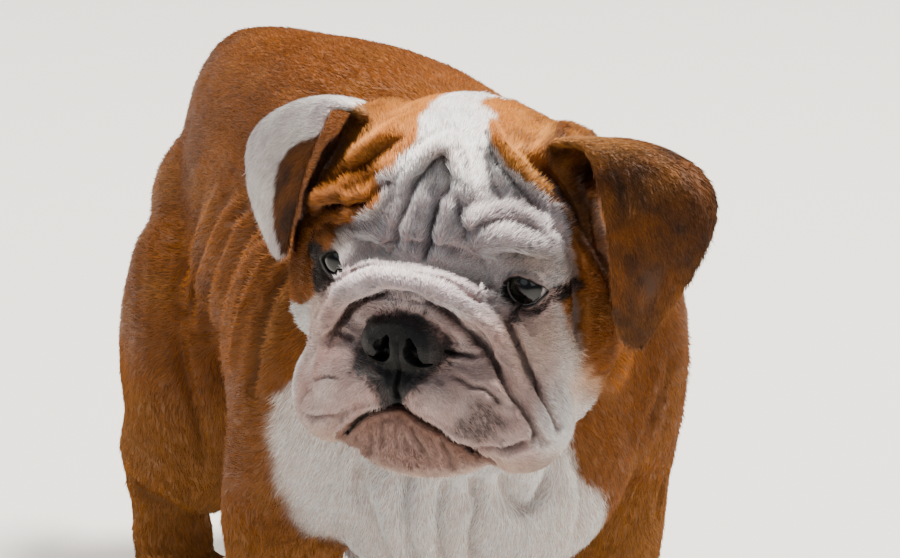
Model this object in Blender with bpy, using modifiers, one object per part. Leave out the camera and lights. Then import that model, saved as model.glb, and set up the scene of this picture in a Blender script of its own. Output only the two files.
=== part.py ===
"""A standing English bulldog puppy, life size, with its head turned to its right.

The body faces -Y with its left side at +X and stands on the plane z = 0. Lengths below are in
millimetres, and MM turns them into Blender's metres. Flesh is made of soft blocks that a voxel
remesh fuses and a smoothing pass rounds. The trunk and the head are then parted into named nodes
by thin cuts, GAP wide.
"""

import math

import bmesh
import bpy
import numpy as np
from mathutils import Matrix, Vector

MM = 0.001
GAP = 0.3 * MM
SLIVER = 0.03 * MM

# Trunk, in the body's own frame: x to the dog's left, y from the breastbone to the tail, z up.
TRUNK_VOXEL = 4.0 * MM
TRUNK_SMOOTHING = 8
TRUNK_TRIANGLES = 3000
PAW_VOXEL = 1.6 * MM
PAW_SMOOTHING = 5
PAW_TRIANGLES = 400
PAW_TOP = 36
RUMP_SWAY = -14

# Head, in a frame of its own: origin midway between the corneas, -y forward, z up.
EYE_LINE = (-84, -90, 306)
HEAD_TURN = -48
HEAD_HALF_WIDTH = 79
CROWN_HEIGHT = 73
CHIN_DEPTH = 95
EYE_SPREAD = 47
EYE_RADIUS = 12.5
EYE_CORNER = 10.1
EYE_ABOVE = 6.2
EYE_BELOW = 6.8
EYE_SHIFT = -1.4
NOSE_PLACE = (-1, -27, -23.5)
HEAD_VOXEL = 2.2 * MM
HEAD_SMOOTHING = 5
HEAD_TRIANGLES = 4600
HEAD_REAR = 60
HEAD_REAR_SHARE = 0.35

COAT_RED = (0.36, 0.125, 0.03)
COAT_WHITE = (0.80, 0.74, 0.70)
SKIN_DARK = (0.02, 0.018, 0.018)
CLAW_HORN = (0.10, 0.075, 0.06)


def clear_scene():
    """Removes every object, so that the model stands alone."""
    for obj in list(bpy.data.objects):
        bpy.data.objects.remove(obj, do_unlink=True)


def material(name, colour, roughness, metallic=0.0):
    """A Principled material of one colour."""
    made = bpy.data.materials.new(name)
    made.use_nodes = True
    shader = made.node_tree.nodes["Principled BSDF"]
    shader.inputs["Base Color"].default_value = (*colour, 1.0)
    shader.inputs["Roughness"].default_value = roughness
    shader.inputs["Metallic"].default_value = metallic
    return made


class Blocks:
    """A mesh of overlapping closed primitives, which a voxel remesh later fuses."""

    def __init__(self, segments=20):
        self.mesh = bmesh.new()
        ball = bmesh.new()
        bmesh.ops.create_uvsphere(ball, u_segments=segments, v_segments=segments * 3 // 4, radius=1.0)
        self.unit = bpy.data.meshes.new("unit_ball")
        ball.to_mesh(self.unit)
        ball.free()

    def ball(self, centre, radii):
        """An ellipsoid with three half-axes, or a ball with one radius."""
        if not isinstance(radii, (tuple, list)):
            radii = (radii, radii, radii)
        place = Matrix.Translation(Vector(centre) * MM)
        size = Matrix.Diagonal((*[r * MM for r in radii], 1.0))
        stamp = self.unit.copy()
        stamp.transform(place @ size)
        self.mesh.from_mesh(stamp)
        bpy.data.meshes.remove(stamp)

    def pair(self, centre, radii, middle=0):
        """The same ellipsoid on both sides of a middle plane."""
        for side in (1, -1):
            self.ball((middle + side * centre[0], centre[1], centre[2]), radii)

    def barrel(self, stations, length):
        """A trunk of elliptical sections through stations of (x, y, z, half-width, half-height)."""
        for x, y, z, wide, high in smooth_path(stations, per_span=4):
            self.ball((x, y, z), (wide, length, high))

    def limb(self, stations):
        """A tapered limb through stations of (x, y, z, radius)."""
        for start, end in zip(stations, stations[1:]):
            steps = max(2, math.ceil(math.dist(start[:3], end[:3]) / (0.3 * min(start[3], end[3]))))
            for step in range(steps + 1):
                share = step / steps
                x, y, z, radius = [a + (b - a) * share for a, b in zip(start, end)]
                self.ball((x, y, z), radius)

    def limbs(self, stations, middle=0):
        """The same limb on both sides of a middle plane."""
        for side in (1, -1):
            self.limb([(middle + side * x, y, z, radius) for x, y, z, radius in stations])

    def object(self, name):
        """The blocks as one object, still unfused."""
        return object_of(self.mesh, name)


def smooth_path(points, per_span=6):
    """A Catmull-Rom curve through the points, as a dense list."""
    first = [2 * a - b for a, b in zip(points[0], points[1])]
    last = [2 * a - b for a, b in zip(points[-1], points[-2])]
    knots = np.array([first, *points, last], float)
    dense = []
    for i in range(1, len(knots) - 2):
        p0, p1, p2, p3 = knots[i - 1 : i + 3]
        for step in range(per_span):
            t = step / per_span
            dense.append(
                0.5
                * (
                    2 * p1
                    + (p2 - p0) * t
                    + (2 * p0 - 5 * p1 + 4 * p2 - p3) * t**2
                    + (3 * p1 - p0 - 3 * p2 + p3) * t**3
                )
            )
    dense.append(knots[-2])
    return [tuple(point) for point in dense]


def both_sides(half):
    """A path of one half, continued through the middle plane to the other half."""
    other = [(-point[0], *point[1:]) for point in reversed(half) if point[0] != 0]
    return [*half, *other]


def baked(obj):
    """Puts the evaluated mesh in the object and drops its modifiers."""
    graph = bpy.context.evaluated_depsgraph_get()
    mesh = bpy.data.meshes.new_from_object(obj.evaluated_get(graph))
    obj.modifiers.clear()
    obj.data = mesh
    return obj


def fused(obj, voxel, smoothing):
    """One closed skin round all the blocks, with its joins rounded."""
    remesh = obj.modifiers.new("fuse", "REMESH")
    remesh.mode = "VOXEL"
    remesh.voxel_size = voxel
    remesh.use_smooth_shade = True
    smooth = obj.modifiers.new("round", "SMOOTH")
    smooth.factor = 0.5
    smooth.iterations = smoothing
    return baked(obj)


def thinned(obj, triangles):
    """The same surface with about this many triangles, kept where it curves most."""
    obj.data.calc_loop_triangles()
    thin = obj.modifiers.new("thin", "DECIMATE")
    thin.ratio = triangles / len(obj.data.loop_triangles)
    thin.use_collapse_triangulate = True
    return baked(obj)


def thinned_behind(obj, y, share):
    """Thins only what lies behind the plane y, down to a share of its triangles."""
    group = obj.vertex_groups.new(name="rear")
    rear = [vertex.index for vertex in obj.data.vertices if vertex.co.y > y * MM]
    group.add(rear, 1.0, "REPLACE")
    thin = obj.modifiers.new("thin", "DECIMATE")
    thin.ratio = 1 - (1 - share) * len(rear) / len(obj.data.vertices)
    thin.vertex_group = "rear"
    thin.use_collapse_triangulate = True
    baked(obj)
    obj.vertex_groups.clear()
    return obj


def distance_to_path(points, path):
    """Each point's distance to a dense path, and the share of the path where it is nearest."""
    path = np.array(path, float)
    start, step = path[:-1], path[1:] - path[:-1]
    nearest = np.full(len(points), np.inf)
    share = np.zeros(len(points))
    for i, (a, d) in enumerate(zip(start, step)):
        t = np.clip((points - a) @ d / max(d @ d, 1e-9), 0, 1)
        gap = np.linalg.norm(points - a - t[:, None] * d, axis=1)
        closer = gap < nearest
        nearest[closer] = gap[closer]
        share[closer] = (i + t[closer]) / len(start)
    return nearest, share


def stroke(obj, path, height, width, fade=0.15):
    """Raises the skin along a path seen from the front, or sinks it where height is negative.

    The path's points are (x, z) in the head's frame, and only the face's front is touched.
    """
    mesh = obj.data
    points = np.empty(len(mesh.vertices) * 3)
    mesh.vertices.foreach_get("co", points)
    points = points.reshape(-1, 3) / MM
    normals = np.empty(len(mesh.vertices) * 3)
    mesh.vertices.foreach_get("normal", normals)
    normals = normals.reshape(-1, 3)
    gap, share = distance_to_path(points[:, [0, 2]], path)
    ends = np.clip(np.minimum(share, 1 - share) / fade, 0, 1)
    front = np.clip((-normals[:, 1] - 0.05) / 0.3, 0, 1) * (points[:, 1] < 45)
    lift = height * np.exp(-((gap / width) ** 2)) * np.sqrt(ends) * front
    mesh.vertices.foreach_set("co", ((points + normals * lift[:, None]) * MM).ravel())
    mesh.update()


def boolean(obj, operation, other, solver="EXACT"):
    """One Boolean between two closed meshes, applied."""
    cut = obj.modifiers.new(operation.lower(), "BOOLEAN")
    cut.operation = operation
    cut.object = other
    cut.solver = solver
    return without_slivers(baked(obj))


def without_slivers(obj):
    """Collapses the edges shorter than SLIVER, which a Boolean leaves where surfaces graze."""
    mesh = bmesh.new()
    mesh.from_mesh(obj.data)
    bmesh.ops.dissolve_degenerate(mesh, dist=SLIVER, edges=mesh.edges)
    bmesh.ops.triangulate(mesh, faces=[face for face in mesh.faces if len(face.verts) > 4])
    mesh.to_mesh(obj.data)
    mesh.free()
    return obj


def copy_of(obj, name):
    made = obj.copy()
    made.data = obj.data.copy()
    made.name = name
    bpy.context.scene.collection.objects.link(made)
    return made


def swollen(obj, by, name="swollen"):
    """A copy whose surface stands out by the given length."""
    made = copy_of(obj, name)
    mesh = made.data
    points = np.empty(len(mesh.vertices) * 3)
    mesh.vertices.foreach_get("co", points)
    normals = np.empty(len(mesh.vertices) * 3)
    mesh.vertices.foreach_get("normal", normals)
    mesh.vertices.foreach_set("co", points + normals * by)
    mesh.update()
    return made


def discard(*objects):
    for obj in objects:
        bpy.data.objects.remove(obj, do_unlink=True)


def largest_piece(obj):
    """Keeps only the largest closed surface of a mesh, by the box it fills."""
    mesh = bmesh.new()
    mesh.from_mesh(obj.data)
    bmesh.ops.remove_doubles(mesh, verts=mesh.verts, dist=1e-6)
    waiting, pieces = set(mesh.verts), []
    while waiting:
        grown, edge = set(), [waiting.pop()]
        while edge:
            vertex = edge.pop()
            grown.add(vertex)
            for link in vertex.link_edges:
                other = link.other_vert(vertex)
                if other in waiting:
                    waiting.remove(other)
                    edge.append(other)
        pieces.append(grown)

    def reach(piece):
        places = np.array([vertex.co for vertex in piece])
        return float(np.prod(places.max(0) - places.min(0)))

    kept = max(pieces, key=reach)
    bmesh.ops.delete(mesh, geom=[v for v in mesh.verts if v not in kept], context="VERTS")
    mesh.to_mesh(obj.data)
    mesh.free()
    obj.data.update()
    return obj


def parted(whole, cutter, name):
    """Takes the stretch inside the cutter off the whole as a node of its own, a GAP apart."""
    piece = largest_piece(boolean(copy_of(whole, name), "INTERSECT", cutter))
    wider = swollen(cutter, GAP)
    boolean(whole, "DIFFERENCE", wider)
    discard(wider, cutter)
    largest_piece(whole)
    return piece


# Trunk


BARREL = [
    (0, 34, 196, 84, 86),
    (0, 66, 208, 93, 113),
    (0, 104, 214, 95, 120),
    (-2, 150, 219, 91, 117),
    (-6, 195, 226, 82, 106),
    (-10, 238, 231, 71, 93),
    (-13, 274, 235, 57, 83),
    (-15, 304, 239, 40, 71),
]
BARREL_LENGTH = 42
FRONT_LEG = [
    (84, 58, 206, 40),
    (89, 66, 160, 37),
    (92, 77, 122, 33),
    (91, 75, 92, 31),
    (88, 70, 58, 27),
    (87, 66, 22, 24),
]
HIND_LEG = [
    (46, 268, 186, 42),
    (56, 256, 140, 38),
    (60, 272, 106, 31),
    (62, 294, 80, 26),
    (60, 292, 52, 24),
    (60, 286, 20, 22),
]
FRONT_ROOT = (58, 66, 96)
HIND_ROOT = (22, 285, 104)
LEG_BOX_INSIDE = 62
LEG_BOX_OUTSIDE = 138
LEG_BOX_HALF = 100
LEG_BOX_DOWN = 300
TAIL = [(-18, 326, 274, 16), (-18, 348, 262, 13), (-16, 358, 246, 9), (-14, 362, 236, 6)]
TAIL_CUT = [(-18, 352, 268, 24), (-14, 374, 238, 24)]
TAIL_CUT_VOXEL = 6.0 * MM
TAIL_CUT_TRIANGLES = 500
NECK_ROOT = (0, 30, 262)
NECK_TILT = -35
NECK_BOX = 200
SLAB_REACH = 450
FRONT_PAW = (88, 52, 18)
HIND_PAW = (61, 280, 17)
# Each toe: its offset across, how far it lies ahead of the paw's middle, and its radius.
TOES = ((-19, 14, 9.0), (-7, 23, 10.5), (7, 23, 10.5), (19, 14, 9.0))
TOE_LENGTH = 15


def trunk_blocks():
    """The masses of the body: barrel, chest, shoulders, thighs, neck, legs and tail."""
    blocks = Blocks()
    blocks.barrel(BARREL, BARREL_LENGTH)
    blocks.ball((-2, 34, 152), (84, 52, 67))
    blocks.pair((82, 64, 196), (41, 56, 84))
    blocks.pair((28, 282, 212), (40, 54, 52), RUMP_SWAY)
    blocks.pair((49, 270, 137), (43, 60, 91), RUMP_SWAY)
    blocks.limb([(-4, 90, 252, 82), (-10, 44, 255, 79), (-18, 8, 268, 73)])
    blocks.ball((-22, -6, 216), (54, 46, 54))
    blocks.limb(TAIL)
    blocks.limbs(FRONT_LEG)
    blocks.limbs(HIND_LEG, RUMP_SWAY)
    return blocks.object("trunk")


def box(place, low, high):
    """A closed box between two corners given in a placed frame."""
    mesh = bmesh.new()
    middle = Matrix.Translation([(a + b) / 2 * MM for a, b in zip(low, high)])
    size = Matrix.Diagonal((*[(b - a) * MM for a, b in zip(low, high)], 1.0))
    bmesh.ops.create_cube(mesh, size=1.0, matrix=place @ middle @ size)
    return object_of(mesh, "box")


def leg_box(side, middle, root, rise):
    """A tilted box whose upper face parts one leg from the trunk, from the inside up and out."""
    x, y, z = root
    place = Matrix.Translation(Vector((middle + side * x, y, z)) * MM)
    tilt = Matrix.Rotation(math.radians(-side * rise), 4, "Y")
    inner, outer = sorted((-side * LEG_BOX_INSIDE, side * LEG_BOX_OUTSIDE))
    return box(place @ tilt, (inner, -LEG_BOX_HALF, -LEG_BOX_DOWN), (outer, LEG_BOX_HALF, 0))


def neck_box():
    """A tilted box whose rear face parts the neck from the shoulders and the chest."""
    place = Matrix.Translation(Vector(NECK_ROOT) * MM)
    tilt = Matrix.Rotation(math.radians(NECK_TILT), 4, "X")
    return box(place @ tilt, (-NECK_BOX, -NECK_BOX, -NECK_BOX), (NECK_BOX, 0, NECK_BOX))


def object_of(mesh, name):
    """Puts a bmesh in a new object."""
    data = bpy.data.meshes.new(name)
    mesh.to_mesh(data)
    mesh.free()
    made = bpy.data.objects.new(name, data)
    bpy.context.scene.collection.objects.link(made)
    return made


def slab(low, high):
    """A wide box between two heights, used to cut the paws from the legs."""
    return box(Matrix(), (-SLAB_REACH, -SLAB_REACH, low), (SLAB_REACH, SLAB_REACH, high))


def toe_tip(side, place, size, middle, toe):
    """Where a toe's front ends, in the body's frame."""
    across, ahead, _ = toe
    return (
        middle + side * (place[0] + across * size),
        place[1] - (ahead + TOE_LENGTH) * size,
    )


def make_paw(name, side, stations, place, size, middle, looks):
    """One paw with four toes and a flat sole, cut level with the end of its leg."""
    blocks = Blocks()
    blocks.limb([(middle + side * x, y, z, radius) for x, y, z, radius in stations[-3:]])
    x, y, z = place
    x = middle + side * x
    blocks.ball((x, y, 15 * size), (25 * size, 29 * size, 17 * size))
    for toe in TOES:
        across, ahead, radius = toe
        tip_x, tip_y = toe_tip(side, place, size, middle, toe)
        radii = (radius * size, TOE_LENGTH * size, 12.5 * size)
        blocks.ball((tip_x, tip_y + TOE_LENGTH * size, 11.5 * size), radii)
    paw = fused(blocks.object(name), PAW_VOXEL, PAW_SMOOTHING)
    top = slab(PAW_TOP, 400)
    boolean(paw, "DIFFERENCE", top)
    below = slab(-60, 1.5)
    boolean(paw, "DIFFERENCE", below)
    discard(top, below)
    for vertex in paw.data.vertices:
        vertex.co.z -= 1.5 * MM
    thinned(paw, PAW_TRIANGLES)
    for vertex in paw.data.vertices:
        if vertex.co.z < 0.6 * MM:
            vertex.co.z = 0.0
    paw.data.materials.append(looks["red"])
    return largest_piece(paw)


def make_claws(nodes, leg, word, side, place, size, middle, looks):
    """A short claw on each toe, seated in its paw with a GAP all round."""
    paw = nodes[f"{leg}_paw_{word}"]
    for number, toe in enumerate(TOES, start=1):
        x, y = toe_tip(side, place, size, middle, toe)
        blocks = Blocks(segments=10)
        blocks.limb([(x, y + 8, 12, 2.6), (x, y + 2.5, 10.5, 2.4), (x, y - 2, 7, 1.5)])
        name = f"claw_{leg}_{word}_{number}"
        claw = thinned(fused(blocks.object(name), 0.7 * MM, 1), 44)
        claw.data.materials.append(looks["claw"])
        wider = swollen(claw, GAP)
        boolean(paw, "DIFFERENCE", wider)
        discard(wider)
        nodes[name] = claw
    largest_piece(paw)


def tail_cutter():
    """A round cutter that takes the tail off the rump."""
    blocks = Blocks(segments=16)
    blocks.limb(TAIL_CUT)
    return thinned(fused(blocks.object("tail_cut"), TAIL_CUT_VOXEL, 3), TAIL_CUT_TRIANGLES)


def make_trunk(looks):
    trunk = thinned(fused(trunk_blocks(), TRUNK_VOXEL, TRUNK_SMOOTHING), TRUNK_TRIANGLES)
    floor = slab(-60, PAW_TOP - 1.5 + GAP / MM)
    boolean(trunk, "DIFFERENCE", floor)
    discard(floor)
    nodes = {}
    legs = (
        ("front", FRONT_LEG, FRONT_PAW, 1.0, 0, FRONT_ROOT, 52),
        ("hind", HIND_LEG, HIND_PAW, 0.93, RUMP_SWAY, HIND_ROOT, 38),
    )
    for leg, stations, place, size, middle, root, rise in legs:
        for side, word in ((1, "left"), (-1, "right")):
            cutter = leg_box(side, middle, root, rise)
            nodes[f"{leg}_leg_{word}"] = parted(trunk, cutter, f"{leg}_leg_{word}")
            name = f"{leg}_paw_{word}"
            nodes[name] = make_paw(name, side, stations, place, size, middle, looks)
            make_claws(nodes, leg, word, side, place, size, middle, looks)
    nodes["tail"] = parted(trunk, tail_cutter(), "tail")
    nodes["neck"] = parted(trunk, neck_box(), "neck")
    trunk.name = "torso"
    nodes["torso"] = trunk
    for name in ("torso", "neck", "tail", *(n for n in nodes if "_leg_" in n)):
        nodes[name].data.materials.clear()
        nodes[name].data.materials.append(looks["red"])
    return nodes


# Head

# Half of the horseshoe roll over the nose: (x, y, z, radius), from the middle to the lip.
NOSE_ROLL = [
    (0, -20, 6, 8.5),
    (18, -20, 4, 8.5),
    (34, -14, -5, 8.5),
    (44, -9, -20, 8.5),
    (51, -4, -35, 8.5),
    (56, 2, -52, 8.0),
    (57, 9, -68, 7.0),
]
# Half of the upper lip's edge, which overhangs the mouth.
UPPER_LIP = [
    (3, -31, -42, 8),
    (14, -31, -46, 9),
    (26, -26, -54, 10),
    (36, -19, -62, 10),
    (43, -12, -70, 9),
    (46, -6, -77, 8),
]
# Half of the lower lip, which stands out under the upper one.
LOWER_LIP = [(0, -30, -61, 8), (12, -29, -62, 8), (22, -25, -67, 8), (31, -18, -74, 8)]
# Half of the fold that frames the face from the temple to the jaw.
CHEEK_FOLD = [
    (52, 32, 42, 8),
    (60, 25, 28, 8),
    (65, 24, 10, 8),
    (68, 27, -10, 8),
    (69, 30, -30, 8),
    (66, 34, -50, 8),
    (58, 30, -66, 8),
]
# The skin that the turned head bunches up behind its right cheek.
TURN_FOLD = [(-64, 48, 34, 12), (-71, 46, 12, 14), (-72, 42, -14, 14), (-66, 34, -38, 13)]
# Furrows and folds seen from the front: a path of (x, z), its height, and its width.
FACE_STROKES = [
    ([(-61, -62), (-45, -8), (-20, 15), (0, 18), (20, 15), (45, -8), (61, -62)], -3.5, 3.2),
    ([(-45, -38), (-30, -13), (0, -3), (30, -13), (45, -38)], -2.8, 3.2),
    ([(3, 20), (3, 38), (4, 60)], -3.2, 3.6),
    ([(-22, 40), (-12, 52), (3, 66), (14, 58), (22, 44)], -2.6, 3.2),
    ([(-18, 36), (-8, 48), (3, 59), (12, 50), (18, 38)], 1.6, 3.5),
    ([(-50, 24), (-36, 34), (-24, 31), (-10, 18)], 2.0, 4.5),
    ([(-58, 30), (-40, 42), (-22, 41), (-12, 32)], -1.8, 3.4),
    ([(17, 24), (26, 33), (39, 37), (52, 33), (60, 22)], 2.0, 4.5),
    ([(14, 34), (26, 43), (41, 47), (56, 39), (66, 22)], -1.8, 3.4),
    ([(-25, 68), (-36, 56), (-50, 40), (-64, 20)], 2.4, 3.6),
    ([(-18, 60), (-30, 46), (-46, 31), (-62, 12)], -2.4, 3.0),
    ([(26, 64), (46, 48), (62, 28), (69, 0), (69, -34)], -2.4, 3.2),
    ([(0, -36), (0, -43), (0, -50)], -1.5, 2.5),
]
BROW = [(14, 6, 24, 8), (26, 6, 27, 9), (39, 8, 28, 9), (51, 12, 25, 9), (58, 18, 16, 8)]
# Half of the mouth's arch, as (x, z) from the middle to the corner and below the chin.
MOUTH = [(0, -50), (8, -51), (18, -55), (27, -62), (35, -70), (40, -79), (42, -92), (42, -112)]
MOUTH_BACK = 4


def head_blocks():
    """The masses of the head: skull, brows, cheeks, muzzle, lips and chin."""
    blocks = Blocks()
    blocks.ball((0, 47, CROWN_HEIGHT - 54), (63, 52, 54))
    blocks.ball((0, 78, 0), (60, 46, 53))
    blocks.pair((43, 50, 43), (23, 28, 22))
    blocks.ball((0, 28, 36), (50, 28, 34))
    blocks.pair((HEAD_HALF_WIDTH - 32, 41, -22), (32, 44, 48))
    blocks.ball((0, 14, 14), (30, 22, 24))
    blocks.pair((46, 15, 0), (22, 17, 18))
    blocks.ball((0, 6, -38), (50, 34, 30))
    blocks.pair((28, -2, -50), (29, 33, 25))
    blocks.pair((47, 4, -62), (22, 30, 27))
    blocks.ball((0, -1, 24 - CHIN_DEPTH), (43, 35, 24))
    blocks.pair((23, -13, -13), (10, 10, 10))
    blocks.ball((0, 44, -60), (58, 48, 36))
    blocks.ball((0, -12, -10), (27, 14, 12))
    blocks.limb(TURN_FOLD)
    for half in (NOSE_ROLL, UPPER_LIP, LOWER_LIP, CHEEK_FOLD, BROW):
        for x, y, z, radius in smooth_path(half, per_span=5):
            blocks.pair((x, y, z), radius)
    return blocks.object("head")


def shape_face(head):
    """Sinks the main furrows of the face and raises the folds between them."""
    for path, height, width in FACE_STROKES:
        stroke(head, smooth_path(path), height, width)
    stroke(head, smooth_path(both_sides(MOUTH[:6])), -2.0, 3.0)


def eye_opening(side):
    """An almond-shaped prism that opens the lids in front of one eyeball."""
    mesh = bmesh.new()
    half = 10
    ring = []
    for i in range(2 * half):
        across = EYE_CORNER * (1 - 2 * i / half if i < half else 2 * i / half - 3)
        height = EYE_ABOVE if i < half else -EYE_BELOW
        ring.append((across + side * EYE_SHIFT, height * (1 - (across / EYE_CORNER) ** 2)))
    front = [mesh.verts.new(Vector((side * EYE_SPREAD + a, -30, u)) * MM) for a, u in ring]
    back = [mesh.verts.new(Vector((side * EYE_SPREAD + a, 9, u)) * MM) for a, u in ring]
    mesh.faces.new(front)
    mesh.faces.new(back[::-1])
    for i in range(2 * half):
        j = (i + 1) % (2 * half)
        mesh.faces.new((front[j], front[i], back[i], back[j]))
    bmesh.ops.recalc_face_normals(mesh, faces=mesh.faces)
    return object_of(mesh, "opening")


def jaw_region():
    """A prism under the mouth's arch, from in front of the chin back to MOUTH_BACK."""
    arch = smooth_path(both_sides(MOUTH[::-1]), per_span=3)
    curve = bpy.data.curves.new("jaw_cut", "CURVE")
    curve.dimensions = "2D"
    curve.fill_mode = "BOTH"
    curve.extrude = 40 * MM
    outline = curve.splines.new("POLY")
    outline.points.add(len(arch) - 1)
    for point, (x, z) in zip(outline.points, arch):
        point.co = (x * MM, z * MM, 0, 1)
    outline.use_cyclic_u = True
    guide = bpy.data.objects.new("jaw_cut", curve)
    bpy.context.scene.collection.objects.link(guide)
    guide.matrix_world = Matrix.Translation((0, (MOUTH_BACK - 40) * MM, 0)) @ Matrix.Rotation(
        math.radians(90), 4, "X"
    )
    bpy.context.view_layer.update()
    return meshed(guide)


def meshed(guide):
    """A curve object as a mesh object with its caps welded, in place of the curve."""
    graph = bpy.context.evaluated_depsgraph_get()
    data = bpy.data.meshes.new_from_object(guide.evaluated_get(graph))
    mesh = bmesh.new()
    mesh.from_mesh(data)
    bmesh.ops.remove_doubles(mesh, verts=mesh.verts, dist=1e-5)
    bmesh.ops.recalc_face_normals(mesh, faces=mesh.faces)
    mesh.transform(guide.matrix_world)
    mesh.to_mesh(data)
    mesh.free()
    made = bpy.data.objects.new(guide.name + "_mesh", data)
    bpy.context.scene.collection.objects.link(made)
    discard(guide)
    return made


def make_eye(side, looks):
    word = "left" if side > 0 else "right"
    blocks = Blocks(segments=24)
    blocks.ball((side * EYE_SPREAD, EYE_RADIUS - 1, 0), EYE_RADIUS)
    blocks.ball((side * EYE_SPREAD, 2.4, 0), 6.5)
    eye = thinned(fused(blocks.object(f"eye_{word}"), 0.9 * MM, 2), 200)
    eye.data.materials.append(looks["eye"])
    return eye


def make_nose(looks):
    """The nose leather, with two comma-shaped nostrils and the groove between them."""
    blocks = Blocks()
    x, y, z = NOSE_PLACE
    blocks.ball((x, y, z), (18, 10.5, 13.5))
    blocks.pair((11.5, y + 0.5, z), (9.5, 9.5, 11), x)
    blocks.ball((x, y + 4, z - 13), (7, 9, 10))
    nose = fused(blocks.object("nose"), 0.9 * MM, 4)
    thinned(nose, 1200)
    holes = Blocks(segments=10)
    holes.limbs([(7.2, y - 13, z, 3.4), (8.6, y - 2, z + 1, 2.6)], x)
    holes.limbs([(9.5, y - 11, z - 4, 2.2), (14, y - 9, z - 5.5, 1.6), (17, y - 6, z - 5, 1.0)], x)
    cutter = thinned(fused(holes.object("nostrils"), 0.8 * MM, 1), 360)
    boolean(nose, "DIFFERENCE", cutter)
    discard(cutter)
    thinned(nose, 680)
    nose.data.materials.append(looks["dark"])
    return largest_piece(nose)


# An ear's rows from root to tip: front edge, rear edge, and how far the row bows outwards.
EAR_ROWS = {
    "left": [
        ((42, 28, 60), (52, 78, 49), 2),
        ((57, 27, 66), (77, 78, 52), 4),
        ((66, 24, 63), (110, 68, 47), 5),
        ((73, 19, 52), (122, 57, 34), 5),
        ((80, 12, 38), (120, 50, 18), 5),
        ((85, 8, 20), (114, 40, 3), 5),
        ((86, 8, 0), (107, 31, -10), 4),
        ((88, 12, -18), (100, 22, -21), 2),
        ((92, 15, -27), (97, 18, -27), 0),
    ],
    "right": [
        ((-42, 28, 62), (-52, 76, 49), 2),
        ((-56, 28, 68), (-77, 78, 54), 4),
        ((-60, 24, 67), (-105, 68, 50), 5),
        ((-62, 18, 58), (-121, 58, 37), 5),
        ((-65, 10, 46), (-120, 52, 22), 5),
        ((-68, 7, 32), (-112, 44, 8), 5),
        ((-72, 7, 18), (-101, 34, -3), 4),
        ((-76, 9, 5), (-90, 24, -9), 2),
        ((-80, 13, -5), (-84, 17, -8), 0),
    ],
}
EAR_BOW = (0.55, -0.65, 0.5)
EAR_THICKNESS = 3.4
EAR_COLUMNS = 6
EAR_TRIANGLES = 560


def make_ear(side, word, looks):
    """A folded drop ear: a sheet through bowed rows, thickened."""
    mesh = bmesh.new()
    bow = Vector((side * EAR_BOW[0], EAR_BOW[1], EAR_BOW[2])).normalized()
    grid = []
    for front, rear, depth in EAR_ROWS[word]:
        front, rear = Vector(front), Vector(rear)
        line = []
        for column in range(EAR_COLUMNS):
            share = column / (EAR_COLUMNS - 1)
            place = front.lerp(rear, share) + bow * depth * (1 - (2 * share - 1) ** 2)
            line.append(mesh.verts.new(place * MM))
        grid.append(line)
    for lower, upper in zip(grid, grid[1:]):
        for i in range(EAR_COLUMNS - 1):
            mesh.faces.new((lower[i], lower[i + 1], upper[i + 1], upper[i]))
    bmesh.ops.recalc_face_normals(mesh, faces=mesh.faces)
    ear = object_of(mesh, f"ear_{word}")
    thick = ear.modifiers.new("thickness", "SOLIDIFY")
    thick.thickness = EAR_THICKNESS * MM
    thick.offset = 0
    round_off = ear.modifiers.new("round", "SUBSURF")
    round_off.levels = round_off.render_levels = 2
    baked(ear)
    thinned(ear, EAR_TRIANGLES)
    ear.data.materials.append(looks["red"])
    return ear


def make_head(looks):
    head = fused(head_blocks(), HEAD_VOXEL, HEAD_SMOOTHING)
    shape_face(head)
    thinned(head, HEAD_TRIANGLES)
    thinned_behind(head, HEAD_REAR, HEAD_REAR_SHARE)
    jaw = parted(head, jaw_region(), "lower_jaw")
    nose = make_nose(looks)
    wider = swollen(nose, GAP)
    boolean(head, "DIFFERENCE", wider)
    discard(wider)
    nodes = [head, jaw, nose]
    for side, word in ((1, "left"), (-1, "right")):
        eye = make_eye(side, looks)
        wider = swollen(eye, GAP)
        boolean(head, "DIFFERENCE", wider)
        opening = eye_opening(side)
        boolean(head, "DIFFERENCE", opening)
        discard(wider, opening)
        ear = make_ear(side, word, looks)
        wider = swollen(head, GAP)
        boolean(ear, "DIFFERENCE", wider)
        discard(wider)
        largest_piece(ear)
        nodes += [eye, ear]
    largest_piece(head)
    for node in (head, jaw):
        node.data.materials.clear()
        node.data.materials.append(looks["white"])
    place = (
        Matrix.Translation(Vector(EYE_LINE) * MM)
        @ Matrix.Rotation(math.radians(HEAD_TURN), 4, "Z")
    )
    for node in nodes:
        node.data.transform(place)
    return {node.name: node for node in nodes}


def stand_on_origin(nodes):
    """Moves the model so that the middle of its footprint's box is the origin."""
    corners = np.array(
        [tuple(vertex.co) for node in nodes.values() for vertex in node.data.vertices]
    )
    low, high = corners.min(0), corners.max(0)
    shift = Matrix.Translation((-(low[0] + high[0]) / 2, -(low[1] + high[1]) / 2, -low[2]))
    for node in nodes.values():
        node.data.transform(shift)


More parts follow.
